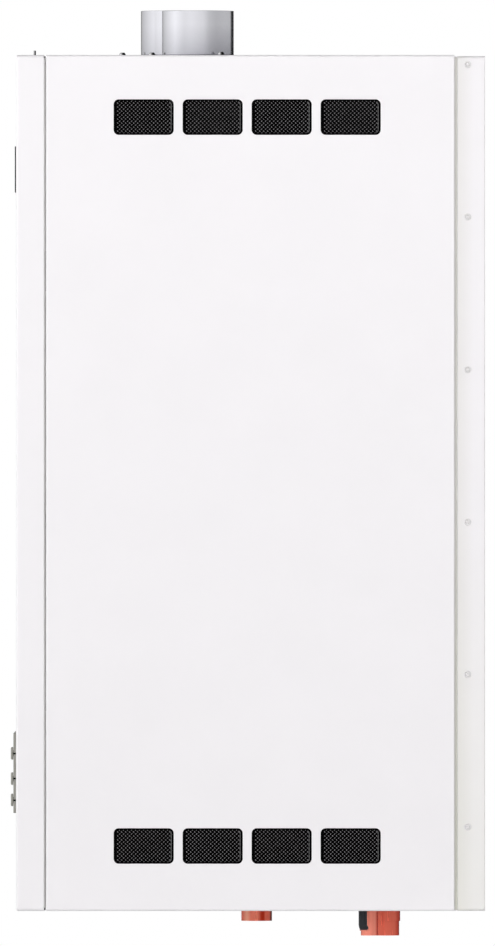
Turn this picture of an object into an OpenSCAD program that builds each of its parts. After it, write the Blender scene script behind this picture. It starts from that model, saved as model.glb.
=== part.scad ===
// Wall-hung gas boiler with a hinged front door, twin flue collars and vented side panels.
// The wall is the plane Y = 0, the door faces -Y, Z = 0 is the casing's lower edge.

/* [Casing] */
// Width over the side panels
case_width = 480; // [476:1:500]
// Depth from the wall to the door's front
case_depth = 469; // [466:1:474]
// Height of the casing
case_height = 856; // [852:1:862]
// Thickness of the casing's sheet steel
sheet = 1.2; // [1:0.1:1.4]
// Depth of the front door's tray
door_depth = 27.5; // [27:0.5:29]
// Gap between the door and the casing
door_gap = 2.5; // [2.4:0.1:3]
// Width of the rear flange that shows behind the side panel
flange_width = 28.5; // [26:0.5:30]
// Width of the groove between the flange and the side panel
flange_groove = 2.5; // [2:0.5:3]
// Width of the folded returns round the casing's mouth
mouth_return = 19.2; // [18:0.2:20]

/* [Side vents] */
// Width of a vent opening
vent_width = 60; // [56:1:62]
// Height of a vent opening
vent_height = 35.5; // [32:0.5:38]
// Corner radius of a vent opening
vent_radius = 5; // [3:1:8]
// Distance from one vent to the next
vent_pitch = 69; // [68:0.5:70]
// Distance from the wall to the middle of a row
vent_row_middle = 237.8; // [230:1:245]
// Height of the upper row's middle
upper_vents = 793.9; // [780:1:800]
// Height of the lower row's middle
lower_vents = 65; // [55:1:80]

/* [Flue and air collars] */
// Outer radius of the collars
collar_radius = 36; // [34:0.25:36.5]
// Wall of the collars
collar_wall = 1; // [0.8:0.1:1.5]
// Height of the exhaust collar above the casing
exhaust_rise = 50; // [40:1:54]
// Height of the air collar above the casing
air_rise = 47.4; // [40:0.2:54]
// Thickness of the exhaust collar's flange and its seal
exhaust_flange = 4.2; // [2:0.2:5]
// Thickness of the air collar's flange and its seal
air_flange = 2; // [1.6:0.2:5]
// Place of the exhaust collar across the casing
exhaust_x = -65; // [-68:1:-64]
// Distance of the exhaust collar from the wall
exhaust_depth = 309.4; // [305:0.2:312]
// Place of the air collar across the casing
air_x = 65; // [62:1:70]
// Distance of the air collar from the wall
air_depth = 287.4; // [284:0.2:290]

/* [Door controls] */
// Width of the control fascia
fascia_width = 200; // [180:2:210]
// Lower edge of the fascia
fascia_bottom = 95.9; // [94:0.1:102]
// Height of the fascia
fascia_height = 80.2; // [79:0.1:84]
// Thickness of the fascia
fascia_thickness = 4; // [3:0.1:4.5]
// Place of the button column across the door
button_x = 72; // [68:1:76]
// Radius of a button cap
button_radius = 6.3; // [6:0.05:6.4]
// Travel of a button
button_travel = 1.2; // [0.8:0.1:1.3]

/* [Pipes] */
// Radius of the heating flow and return pipes
heating_pipe = 14.25; // [13:0.25:14.5]
// Radius of the tap water pipes
tap_pipe = 8.6; // [8:0.1:8.8]
// How far the heating pipes reach below the casing
heating_drop = 27.3; // [20:0.1:30]
// How far the tap water pipes reach below the casing
tap_drop = 26.2; // [20:0.1:30]
// How far the sleeves of the heating pipes reach below the casing
sleeve_drop = 12.8; // [8:0.1:14]
// How far the gas union reaches below the casing
union_drop = 17.4; // [8:0.1:20]

/* [Heat exchanger] */
// Radius of the stainless drum
drum_radius = 120; // [116:1:122]
// Place of the drum's axis across the casing
drum_x = 95; // [94:1:96]
// Height of the drum's axis
drum_z = 600; // [598:1:602]

/* [Hidden] */

$fn = 64;
cut = 1;
corner_steps = 6;
running_gap = 0.05;

// Casing planes
half_width = case_width / 2;
inner_half = half_width - sheet;
door_front = -case_depth;
door_skin = door_front + sheet;
door_back = door_front + door_depth;
case_front = door_back + door_gap;
side_back = -(flange_width + flange_groove);
mouth_half = half_width - mouth_return - sheet;
flange_face = half_width - 1.2;
lap_depth = 30;
top_lap = 12;

// Rivets in the rear flange
rivet_pitch = 152.5;
rivet_first = 84;
rivet_y = -17.5;
rivet_head = 3.5;

// Door hinge and closing parts
hinge_x = -234;
hinge_y = door_front + 14.2;
hinge_pin_radius = 1.4;
hinge_pin_top = case_height + 13;
hinge_arm_half = 5;
hinge_arm_thick = 2.4;
hinge_arm_inset = 2.6;
lip_width = 22;
gasket_thick = 2.2;
gasket_width = 8;
gasket_inset = 3;
magnet_heights = [200, 620];

// Buttons, from top to bottom
button_heights = [155.7, 130.2, 108.7];
button_cap = 2.4;
button_lift = 0.5;
button_stem = 3;
button_collar = 4.2;
stem_end = door_front + 8.5;
fascia_front = door_front - fascia_thickness;
counterbore_depth = 1.6;
counterbore_radius = button_radius + 0.35;
slot_height = 1.3;

// Collars
collar_bore = collar_radius - collar_wall;
collar_bottom = case_height - 20;
collar_hole = collar_radius + 0.45;
exhaust_at = [exhaust_x, -exhaust_depth];
air_at = [air_x, -air_depth];
air_screw_circle = 46.3;
exhaust_screw_circle = 54.8;
flange_margin = 6;
screw_head = 3.25;
screw_head_height = 3.7;
screw_shank = 1.6;

// Pipe places below the casing
flow_at = [-150, -99.1];
return_at = [90, -99.1];
hot_at = [-90, -115.1];
cold_at = [150, -115.1];
gas_at = [-160, -228.2];
gas_union = 15.6;
sleeve_radius = heating_pipe + 1;
spout_at = [190, -121.3];
spout_radius = 4.6;
elbow_swell = 1.12;
pipe_swage = 0.15;
stop_ring = 0.8;

// Exhaust pipe and the sump's outlet
exhaust_pipe_radius = 33;
exhaust_foot = 474;
socket_depth = 12;
sump_top = 470;

// Heat exchanger and burner
drum_front = -385;
drum_rear = -165;
drum_wall = 1.5;
drum_flange = drum_radius + 7;
stud_circle = drum_radius + 1;
burner_front = drum_front - 13;
premix_front = -430;

// Fan
fan_x = -162;
fan_z = 650;
fan_front = -400;
fan_rear = -350;
fan_radius = 62;
fan_wall = 3;
fan_shaft = 3;

// Pump
pump_x = 90;
pump_z = 150;
pump_front = -300;
pump_rear = -250;
pump_radius = 45;
pump_shaft = 4;

// Gauge and relief valve
gauge_at = [0, -330, 215];
relief_x = -140;
relief_z = 135;

// A block between two corners
module block(low, high) {
    translate(low) cube(high - low);
}

// A round bar from one point to another
module rod(from, to, radius) {
    run = to - from;
    translate(from)
        rotate([0, acos(run.z / norm(run)), atan2(run.y, run.x)])
            cylinder(r = radius, h = norm(run));
}

// A round bar along Y at a place across and up
module rod_y(x, z, y0, y1, radius) {
    translate([x, y0, z]) rotate([-90, 0, 0]) cylinder(r = radius, h = y1 - y0);
}

// A pipe along a list of points, with a ball elbow at each turn; every other length is a little
// slimmer, as a pipe end is where it slips into an elbow
module pipe_run(points, radius) {
    for (i = [0 : len(points) - 2]) rod(points[i], points[i + 1], radius - (i % 2) * pipe_swage);
    for (i = [1 : 1 : len(points) - 2]) translate(points[i]) sphere(r = radius * elbow_swell);
}

// A ring of copies round the Y axis
module around_y(x, z, count, first = 0) {
    for (i = [0 : count - 1])
        translate([x, 0, z]) rotate([0, first + 360 * i / count, 0]) children();
}

// The outline of a rectangle with round corners
function rounded_outline(width, height, radius) = [
    for (corner = [[1, 1, 0], [-1, 1, 90], [-1, -1, 180], [1, -1, 270]])
        for (step = [0 : corner_steps])
            [corner.x * (width / 2 - radius), corner.y * (height / 2 - radius)]
                + radius * [cos(corner.z + 90 * step / corner_steps),
                            sin(corner.z + 90 * step / corner_steps)]
];

// A rounded plate that faces X, from x0 to x1
module plate_x(x0, x1, y, z, width, height, radius) {
    translate([x0, y, z]) rotate([90, 0, 90])
        linear_extrude(height = x1 - x0) polygon(rounded_outline(width, height, radius));
}

// A rounded plate that faces Y, from y0 to y1
module plate_y(y0, y1, x, z, width, height, radius) {
    translate([x, y1, z]) rotate([90, 0, 0])
        linear_extrude(height = y1 - y0) polygon(rounded_outline(width, height, radius));
}

// A rounded column along Z
module plate_z(z0, z1, x, y, width, depth, radius) {
    translate([x, y, z0])
        linear_extrude(height = z1 - z0) polygon(rounded_outline(width, depth, radius));
}

// The places of the eight vents of a side panel
module each_vent() {
    for (row = [lower_vents, upper_vents])
        for (i = [-1.5 : 1.5])
            translate([0, -vent_row_middle + i * vent_pitch, row]) children();
}

// The right-hand side panel; the left one is its mirror image
module side_panel() {
    difference() {
        union() {
            block([inner_half, case_front, 0], [half_width, side_back, case_height]);
            block([mouth_half, case_front, 0], [half_width, case_front + sheet, case_height]);
        }
        each_vent()
            plate_x(inner_half - cut, half_width + cut, 0, 0, vent_width, vent_height, vent_radius);
    }
}

// A row of framed mesh inserts behind the right-hand panel's vents
module vent_grilles() {
    rim = 6;
    border = 2.2;
    each_vent() difference() {
        union() {
            plate_x(inner_half - 1.8, inner_half, 0, 0, vent_width + rim, vent_height + rim, 6);
            plate_x(inner_half, half_width - 0.3, 0, 0, vent_width - 0.1, vent_height - 0.1,
                    vent_radius);
        }
        plate_x(inner_half - 0.5, half_width + cut, 0, 0, vent_width - 2 * border,
                vent_height - 2 * border, vent_radius - border);
    }
}

module rear_panel() color("white") {
    top = case_height - sheet;
    groove_face = flange_face - 1.2;
    difference() {
        union() {
            block([-flange_face, -sheet, 0], [flange_face, 0, top]);
            // Return that the top panel lies on
            block([-groove_face, side_back - top_lap, top - sheet], [groove_face, -sheet, top]);
            for (side = [0, 1]) mirror([side, 0, 0]) {
                block([flange_face - sheet, -flange_width, sheet], [flange_face, -sheet, top]);
                block([groove_face - sheet, -flange_width, sheet], [flange_face, sheet - flange_width, top]);
                block([groove_face - sheet, -flange_width - lap_depth, sheet],
                      [groove_face, -flange_width, top]);
            }
        }
        for (x = [-170, 170]) for (z = [110, 790]) rod_y(x, z, -sheet - cut, cut, 5);
        for (side = [-1, 1]) for (i = [0 : 5])
            rod([side * (flange_face - 5), rivet_y, rivet_first + i * rivet_pitch],
                [side * (flange_face + 5), rivet_y, rivet_first + i * rivet_pitch], screw_shank);
    }
}

module side_panel_right() color("white") side_panel();
module side_panel_left() color("white") mirror([1, 0, 0]) side_panel();

// A flat panel from the casing's mouth to its rear edge, with a folded return at the mouth
module end_panel(rear) {
    block([-inner_half, case_front + sheet, 0], [inner_half, rear, sheet]);
    block([-mouth_half, case_front, 0], [mouth_half, case_front + sheet, mouth_return + sheet]);
}

module top_panel() color("white") {
    difference() {
        translate([0, 0, case_height]) mirror([0, 0, 1]) end_panel(side_back);
        translate(exhaust_at) cylinder(r = collar_hole, h = case_height + cut);
        translate(air_at) cylinder(r = collar_hole, h = case_height + cut);
        each_collar_screw() cylinder(r = screw_shank, h = 4 * exhaust_flange, center = true);
    }
}

module bottom_panel() color("white") {
    difference() {
        end_panel(-sheet);
        for (at = [flow_at, return_at])
            translate([at.x, at.y, -cut]) cylinder(r = sleeve_radius + 1, h = sheet + 2 * cut);
        for (at = [hot_at, cold_at])
            translate([at.x, at.y, -cut]) cylinder(r = tap_pipe + 1, h = sheet + 2 * cut);
        translate([gas_at.x, gas_at.y, -cut]) cylinder(r = gas_union + 1, h = sheet + 2 * cut);
        translate([spout_at.x, spout_at.y, -cut]) cylinder(r = spout_radius + 1, h = sheet + 2 * cut);
    }
}

module vent_grilles_right() color([0.08, 0.08, 0.08]) vent_grilles();
module vent_grilles_left() color([0.08, 0.08, 0.08]) mirror([1, 0, 0]) vent_grilles();

module flange_rivets() color("whitesmoke") {
    for (side = [0, 1]) mirror([side, 0, 0])
        for (i = [0 : 5])
            translate([flange_face, rivet_y, rivet_first + i * rivet_pitch]) rotate([0, 90, 0])
                rotate_extrude()
                    polygon([[0, -3], [screw_shank, -3], [screw_shank, 0], [rivet_head, 0],
                             [rivet_head, 0.35], [2.4, 0.85], [0.6, 1], [0.4, 0.8], [0, 0.8]]);
}

// Door
module front_door() color("white") {
    mouth = lip_width - sheet;
    difference() {
        block([-half_width, door_front, 0], [half_width, door_back, case_height]);
        block([-inner_half, door_skin, sheet], [inner_half, door_back - sheet, case_height - sheet]);
        block([-inner_half + mouth, door_skin, sheet + mouth],
              [inner_half - mouth, door_back + cut, case_height - sheet - mouth]);
        // Notches that the hinge arms turn in
        for (low = [sheet, case_height - sheet - 4.6])
            block([-half_width - cut, hinge_y - 7.6, low],
                  [-inner_half + 14.8, door_back + cut, low + 4.6]);
        for (z = [-cut, case_height - sheet - cut])
            translate([hinge_x, hinge_y, z])
                cylinder(r = hinge_pin_radius + running_gap, h = sheet + 2 * cut);
        for (z = button_heights)
            rod_y(button_x, z, door_front - cut, door_skin + cut, button_collar + 0.4);
        plate_y(door_front - cut, door_skin + cut, -21, fascia_bottom + fascia_height / 2, 100, 36, 2);
    }
}

module door_gasket() color("lightgray") {
    left = hinge_x + 6;
    right = half_width - 4;
    top = case_height - gasket_inset;
    difference() {
        block([left, door_back, gasket_inset], [right, door_back + gasket_thick, top]);
        block([left + gasket_width, door_back - cut, gasket_inset + gasket_width],
              [right - gasket_width, door_back + 2 * gasket_thick, top - gasket_width]);
    }
}

// A flat arm that holds one hinge pin in front of the casing
module hinge_arm(low) {
    difference() {
        union() {
            block([hinge_x - hinge_arm_half, hinge_y, low],
                  [hinge_x + hinge_arm_half, case_front, low + hinge_arm_thick]);
            translate([hinge_x, hinge_y, low]) cylinder(r = hinge_arm_half, h = hinge_arm_thick);
            block([hinge_x - 5.5, case_front - 1.6, low - 0.4],
                  [hinge_x + 5.6, case_front, low + hinge_arm_thick + 0.4]);
        }
        translate([hinge_x, hinge_y, low - cut])
            cylinder(r = hinge_pin_radius, h = hinge_arm_thick + 2 * cut);
    }
}

module hinge_brackets() color("silver") {
    hinge_arm(case_height - hinge_arm_inset - hinge_arm_thick);
    hinge_arm(hinge_arm_inset);
}

module hinge_pins() color("silver") {
    upper = case_height - hinge_arm_inset - hinge_arm_thick;
    translate([hinge_x, hinge_y, upper - 1.5])
        cylinder(r = hinge_pin_radius, h = hinge_pin_top - upper + 1.5);
    translate([hinge_x, hinge_y, 0.1])
        cylinder(r = hinge_pin_radius, h = hinge_arm_inset + hinge_arm_thick + 1.4);
}

module magnet_catches() color("dimgray") {
    for (z = magnet_heights)
        block([half_width - 20.4, case_front - 2.2, z], [half_width - 13.4, case_front, z + 40]);
}

module badge_plate() color("dimgray") {
    plate_y(door_front - 2.9, door_front, 0, 744.2, 110, 46, 1);
}

module control_fascia() color([0.55, 0.55, 0.5]) {
    middle = fascia_bottom + fascia_height / 2;
    difference() {
        plate_y(fascia_front, door_front, 0, middle, fascia_width, fascia_height, 2);
        plate_y(fascia_front - cut, door_front + cut, -21, middle, 114, 50, 3);
        for (z = button_heights) {
            rod_y(button_x, z, fascia_front - cut, door_front + cut, button_stem + running_gap);
            rod_y(button_x, z, fascia_front - cut, fascia_front + counterbore_depth,
                  counterbore_radius);
            block([button_x, fascia_front - cut, z - slot_height / 2],
                  [fascia_width / 2 + cut, door_front + cut, z + slot_height / 2]);
        }
    }
}

module display_window() color([0.05, 0.06, 0.07]) {
    plate_y(fascia_front + 0.3, door_front, -21, fascia_bottom + fascia_height / 2, 114, 50, 3);
}

// A push button: its cap, its stem through the fascia and the collar that keeps it in
module button(z) {
    cap_back = fascia_front - button_lift;
    rod_y(button_x, z, cap_back - button_cap, cap_back, button_radius);
    rod_y(button_x, z, cap_back, stem_end, button_stem);
    rod_y(button_x, z, door_front + 2.6, door_front + 3.8, button_collar);
}

module button_top() color([0.5, 0.5, 0.46]) button(button_heights[0]);
module button_middle() color([0.5, 0.5, 0.46]) button(button_heights[1]);
module button_bottom() color([0.5, 0.5, 0.46]) button(button_heights[2]);

module control_housing() color([0.15, 0.15, 0.16]) {
    middle = fascia_bottom + fascia_height / 2;
    wall = 2;
    depth = 22;
    difference() {
        plate_y(door_skin, door_skin + depth, 0, middle, fascia_width - 6, fascia_height - 4, 6);
        plate_y(door_skin - cut, door_skin + depth - wall, 0, middle, fascia_width - 6 - 2 * wall,
                fascia_height - 4 - 2 * wall, 4);
        for (i = [-4 : 4])
            block([-60 + i * 5 - 1, door_skin + depth - 2 * wall, middle - 22],
                  [-60 + i * 5 + 1, door_skin + depth + cut, middle + 22]);
    }
}

module control_board() color("green") {
    middle = fascia_bottom + fascia_height / 2;
    front = door_front + 13;
    plate_y(front, front + 1.6, 0, middle, fascia_width - 13, fascia_height - 11, 2);
    block([-60, front + 1.6, middle - 20], [-30, front + 7.4, middle + 20]);
    block([0, front + 1.6, middle - 12], [24, front + 5, middle + 12]);
    for (z = button_heights) {
        block([button_x - 3.5, front - 2.4, z - 3.5], [button_x + 3.5, front, z + 3.5]);
        rod_y(button_x, z, stem_end + button_travel + 0.5, front - 2.4, 1.6);
    }
    // Spacers up to the housing's back wall
    for (x = [-80, 80]) for (z = [middle - 30, middle + 30])
        rod_y(x, z, front + 1.6, door_skin + 20, 3);
}

// Flue and air collars
module around_collar(at, circle, z) {
    for (i = [0 : 2])
        translate([at.x, at.y, z]) rotate([0, 0, 120 * i - 90]) translate([circle, 0, 0]) children();
}

module each_collar_screw() {
    around_collar(air_at, air_screw_circle, case_height + air_flange) children();
    around_collar(exhaust_at, exhaust_screw_circle, case_height + exhaust_flange) children();
}

// A tube through the top panel with a flange that is screwed down on it
module collar(at, rise, circle, flange) {
    height = case_height + rise - collar_bottom;
    difference() {
        union() {
            translate([at.x, at.y, collar_bottom]) cylinder(r = collar_radius, h = height);
            translate([at.x, at.y, case_height]) cylinder(r = circle + flange_margin, h = flange);
        }
        translate([at.x, at.y, collar_bottom - cut]) cylinder(r = collar_bore, h = height + 2 * cut);
        around_collar(at, circle, case_height - cut) cylinder(r = screw_shank, h = flange + 2 * cut);
    }
}

module exhaust_collar() color("silver")
    collar(exhaust_at, exhaust_rise, exhaust_screw_circle, exhaust_flange);
module air_collar() color("silver") collar(air_at, air_rise, air_screw_circle, air_flange);

module collar_screws() color("silver") {
    each_collar_screw() {
        translate([0, 0, -8]) cylinder(r = screw_shank, h = 8);
        rotate_extrude()
            polygon([[0, 0], [screw_head, 0], [screw_head, 1.5], [2.2, screw_head_height],
                     [1.2, screw_head_height], [1.2, 2.2], [0, 2.2]]);
    }
}

// Exhaust side
module exhaust_pipe() color("lightgray") {
    wall = 2;
    translate([exhaust_at.x, exhaust_at.y, 0]) difference() {
        union() {
            translate([0, 0, exhaust_foot])
                cylinder(r = exhaust_pipe_radius, h = collar_bottom - exhaust_foot);
            translate([0, 0, collar_bottom - socket_depth])
                cylinder(r = collar_radius + 3, h = 2 * socket_depth);
        }
        translate([0, 0, exhaust_foot - cut])
            cylinder(r = exhaust_pipe_radius - wall, h = collar_bottom);
        translate([0, 0, collar_bottom]) cylinder(r = collar_radius, h = 2 * socket_depth);
    }
}

// A moulded tub under the heat exchanger, with an outlet box that carries the exhaust pipe
module flue_sump() color([0.2, 0.2, 0.22]) {
    floor_z = 400;
    wall = 4;
    middle = drum_x + 2;
    outlet_x = exhaust_at.x + 15;
    difference() {
        union() {
            plate_z(floor_z, sump_top, middle, -285, 214, 170, 14);
            plate_z(floor_z, sump_top, outlet_x, exhaust_at.y, 110, 76, 14);
            translate([exhaust_at.x, exhaust_at.y, sump_top])
                cylinder(r = exhaust_pipe_radius + 3, h = socket_depth + wall);
            for (i = [-3 : 3])
                block([middle + i * 28 - 1.5, -372.5, 405], [middle + i * 28 + 1.5, -369, 465]);
        }
        plate_z(floor_z + wall, sump_top - wall, middle, -285, 206, 162, 10);
        plate_z(floor_z + wall, sump_top - wall, outlet_x + 10, exhaust_at.y, 122, 68, 10);
        translate([exhaust_at.x, exhaust_at.y, floor_z + wall]) cylinder(r = exhaust_pipe_radius - 3, h = 90);
        translate([exhaust_at.x, exhaust_at.y, exhaust_foot])
            cylinder(r = exhaust_pipe_radius, h = 2 * socket_depth);
        translate([drum_x, -285, 460]) cylinder(r = 40, h = 20);
        translate([spout_at.x, -225, 390]) cylinder(r = 6, h = 20);
    }
}

// Heat exchanger
module exchanger_drum() color("silver") {
    difference() {
        union() {
            rod_y(drum_x, drum_z, drum_front, drum_rear, drum_radius);
            rod_y(drum_x, drum_z, drum_front, drum_front + 3, drum_flange);
            for (y = [-340, -275, -210]) rod_y(drum_x, drum_z, y, y + 8, drum_radius + 1.5);
            translate([drum_x, -285, 470]) cylinder(r = 42, h = 30);
            block([drum_x + drum_radius - 4, -200, drum_z - 20], [222, -180, drum_z + 20]);
            block([-106, -200, drum_z - 12], [drum_x - drum_radius + 4, -180, drum_z + 12]);
        }
        rod_y(drum_x, drum_z, drum_front - cut, drum_rear - drum_wall, drum_radius - drum_wall);
        translate([drum_x, -285, 460]) cylinder(r = 40, h = 40);
    }
}

// Twelve hollow turns of flattened tube, drawn as one folded wall round the burner
module exchanger_coil() color("silver") {
    turns = 12;
    pitch = 16;
    wall = 3;
    outer = drum_radius - 8;
    valley = drum_radius - 40;
    rear = drum_rear - drum_wall;
    outside = [[valley, 0], [outer, 4], [outer, 10], [valley, 14]];
    inside = [[valley - wall, 12], [outer - wall, 8.5], [outer - wall, 5.5], [valley - wall, 2]];
    translate([drum_x, rear - turns * pitch + 2, drum_z]) rotate([-90, 0, 0]) rotate_extrude()
        polygon([
            for (i = [0 : turns - 1]) for (step = outside) [step.x, i * pitch + step.y],
            [valley - wall, turns * pitch - 2],
            for (i = [turns - 1 : -1 : 0]) for (step = inside) [step.x, i * pitch + step.y],
            [valley - wall, 0]
        ]);
}

module burner_door() color("lightgray") {
    duct_bottom = drum_z - 34;
    duct_top = drum_z + 34;
    difference() {
        union() {
            rod_y(drum_x, drum_z, burner_front, drum_front, drum_flange - 1);
            around_y(drum_x, drum_z, 6, 30) block([58, burner_front - 5, -2.5], [114, burner_front, 2.5]);
            rod_y(drum_x, drum_z, premix_front + 8, burner_front, 56);
            rod_y(drum_x, drum_z, premix_front, premix_front + 8, 50);
            block([-36, premix_front + 2, duct_bottom + 4], [drum_x - 40, burner_front - 8, duct_top - 4]);
            hull() {
                block([-36, premix_front + 2, duct_bottom + 4], [-34.5, burner_front - 8, duct_top - 4]);
                block([-64, premix_front + 6, duct_bottom + 10], [-62, -368, duct_top + 4]);
            }
            block([-98, -397, fan_z - 58], [-38, -368, fan_z - 16]);
        }
        // Passage from the fan to the burner
        block([-99, -393, fan_z - 54], [-42, -372, fan_z - 20]);
        around_y(drum_x, drum_z, 6) rod_y(stud_circle - 3, 0, burner_front - cut, drum_front + cut, 3);
        rod_y(drum_x + 78, drum_z + 40, burner_front - cut, drum_front + cut, 4);
        rod_y(drum_x, drum_z, burner_front, drum_front + cut, 30);
    }
}

module burner_tube() color("gray") {
    difference() {
        rod_y(drum_x, drum_z, burner_front + 2, -235, 30);
        rod_y(drum_x, drum_z, burner_front + 1, -238, 28.5);
    }
    difference() {
        rod_y(drum_x, drum_z, drum_front, drum_front + 2, 44);
        rod_y(drum_x, drum_z, drum_front - cut, drum_front + 2 + cut, 29.5);
    }
}

module burner_nuts() color("goldenrod") {
    around_y(drum_x, drum_z, 6) {
        translate([stud_circle - 3, burner_front - 5, 0]) rotate([-90, 0, 0])
            cylinder(r = 5.8, h = 5, $fn = 6);
        rod_y(stud_circle - 3, 0, burner_front - 10, drum_front, 3);
    }
}

module ignition_electrode() color("whitesmoke") {
    x = drum_x + 78;
    z = drum_z + 40;
    rod_y(x, z, burner_front - 14, drum_front, 4);
    rod_y(x, z, burner_front - 4, burner_front, 8);
    rod_y(x, z, burner_front - 24, burner_front - 14, 2.5);
    rod([x, drum_front, z], [x - 35, drum_front + 30, z - 18], 1);
    rod([x, drum_front - 4, z], [x, drum_front + 1, z], 1.6);
}

// Fan and gas path
module fan_housing() color("lightgray") {
    difference() {
        union() {
            rod_y(fan_x, fan_z, fan_front, fan_rear, fan_radius);
            block([fan_x, fan_front + 3, fan_z - fan_radius + 4], [-98, fan_rear - 14, fan_z - 12]);
            rod_y(fan_x, fan_z, fan_front - 3, fan_front, 44);
            around_y(fan_x, fan_z, 4, 45) rod_y(fan_radius + 1, 0, fan_front, fan_front + 12, 5);
        }
        rod_y(fan_x, fan_z, fan_front + fan_wall, fan_rear - fan_wall, fan_radius - fan_wall);
        block([fan_x, fan_front + 7, fan_z - fan_radius + 8], [-97, fan_rear - 22, fan_z - 20]);
        rod_y(fan_x, fan_z, fan_rear - 2 * fan_wall, fan_rear + cut, 24);
        rod_y(fan_x, fan_z, fan_front - 3 - cut, fan_front + 2 * fan_wall, fan_shaft + 1);
    }
}

module fan_impeller() color([0.2, 0.2, 0.2]) {
    back = fan_front + 8;
    rod_y(fan_x, fan_z, back, back + 2, 50);
    rod_y(fan_x, fan_z, back, back + 14, 12);
    rod_y(fan_x, fan_z, fan_front - 24, back + 14, fan_shaft);
    around_y(fan_x, fan_z, 16) rotate([0, 28, 0]) block([22, back + 1, 8], [48, back + 29, 9.2]);
    difference() {
        rod_y(fan_x, fan_z, back + 28, back + 29.5, 50);
        rod_y(fan_x, fan_z, back + 27, back + 31, 26);
    }
}

module fan_motor() color([0.12, 0.12, 0.13]) {
    rear = fan_front - 3;
    difference() {
        union() {
            rod_y(fan_x, fan_z, rear - 28, rear, 38);
            rod_y(fan_x, fan_z, rear - 31, rear - 28, 30);
            around_y(fan_x, fan_z, 12) block([37, rear - 26, -1.2], [40.5, rear, 1.2]);
            block([fan_x + 26, rear - 24, fan_z + 26], [fan_x + 44, rear - 6, fan_z + 44]);
        }
        rod_y(fan_x, fan_z, rear - 22, rear + cut, fan_shaft + running_gap);
    }
}

module gas_air_mixer() color("silver") {
    difference() {
        union() {
            rod_y(fan_x, fan_z, fan_rear, fan_rear + 6, 36);
            rod_y(fan_x, fan_z, fan_rear, -296, 27);
            rod_y(fan_x, fan_z, -302, -296, 30);
            translate([fan_x, -322, fan_z - 42]) cylinder(r = 12, h = 30);
            translate([fan_x, -322, fan_z - 44]) cylinder(r = 15, h = 5);
        }
        rod_y(fan_x, fan_z, fan_rear - cut, -295, 21);
        translate([fan_x, -322, fan_z - 45]) cylinder(r = 7, h = 40);
    }
}

module air_silencer() color([0.13, 0.13, 0.14]) {
    duct_y = -240;
    difference() {
        union() {
            plate_z(745, collar_bottom, 92, -288, 226, 196, 16);
            for (i = [-4 : 4])
                block([92 + i * 24 - 2, -389, 752], [92 + i * 24 + 2, -384, collar_bottom - 7]);
            pipe_run([[-18, duct_y, 790], [fan_x, duct_y, 790], [fan_x, duct_y, fan_z],
                      [fan_x, -296, fan_z]], 23);
        }
        plate_z(748, collar_bottom - 4, 92, -288, 220, 190, 13);
        translate([air_at.x, air_at.y, 800]) cylinder(r = collar_bore - 2, h = 60);
        rod([-30, duct_y, 790], [0, duct_y, 790], 20);
        rod([fan_x, -250, fan_z], [fan_x, -297, fan_z], 20);
    }
}

module gas_valve() color([0.62, 0.63, 0.65]) {
    difference() {
        union() {
            block([-198, -296, 300], [-122, -200, 356]);
            block([-190, -286, 356], [-134, -210, 372]);
            translate([-176, -250, 372]) cylinder(r = 15, h = 34);
            translate([-146, -250, 372]) cylinder(r = 11, h = 26);
            rod_y(-160, 328, -312, -296, 20);
            rod_y(-160, 328, -318, -312, 14);
            translate([gas_at.x, gas_at.y, 288]) cylinder(r = 17, h = 12);
        }
        for (x = [-190, -130]) for (z = [308, 348]) rod_y(x, z, -297, -286, 2.5);
    }
}

module gas_inlet_pipe() color([0.78, 0.4, 0.3]) {
    difference() {
        union() {
            translate([gas_at.x, gas_at.y, -union_drop]) cylinder(r = gas_union, h = union_drop + 22);
            translate([gas_at.x, gas_at.y, 22]) cylinder(r = 11, h = 266);
            translate([gas_at.x, gas_at.y, 262]) cylinder(r = 19, h = 26, $fn = 6);
        }
        translate([gas_at.x, gas_at.y, -union_drop - cut]) cylinder(r = 12, h = 24);
    }
}

module gas_supply_pipe() color([0.78, 0.42, 0.3]) {
    pipe_run([[-176, -250, 406], [-176, -250, 470], [-176, -322, 470], [fan_x, -322, 520],
              [fan_x, -322, fan_z - 44]], 7);
}

// Pump
module pump_housing() color([0.25, 0.25, 0.27]) {
    difference() {
        union() {
            rod_y(pump_x, pump_z, pump_front, pump_rear, pump_radius);
            rod([pump_x + 40, -275, pump_z], [pump_x + 40, -275, pump_z + 56], 14);
            translate([pump_x + 40, -275, pump_z + 44]) cylinder(r = 18, h = 12, $fn = 6);
            block([pump_x - 10, -286, sheet], [pump_x + 10, -264, pump_z - 30]);
            block([pump_x - 30, -292, sheet], [pump_x + 30, -258, sheet + 4]);
            rod_y(pump_x, pump_z, pump_rear, pump_rear + 14, 20);
        }
        rod_y(pump_x, pump_z, pump_front - cut, pump_rear - 8, pump_radius - 7);
        rod_y(pump_x, pump_z, pump_rear - 9, pump_rear + 15, 10);
    }
}

module pump_impeller() color("gray") {
    face = pump_front + 6;
    rod_y(pump_x, pump_z, face, face + 3, 32);
    rod_y(pump_x, pump_z, face, face + 12, 9);
    rod_y(pump_x, pump_z, pump_front - 30, face, pump_shaft);
    around_y(pump_x, pump_z, 6) rotate([0, 30, 0]) block([7, face + 2, 6], [29, face + 18, 8]);
}

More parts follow.
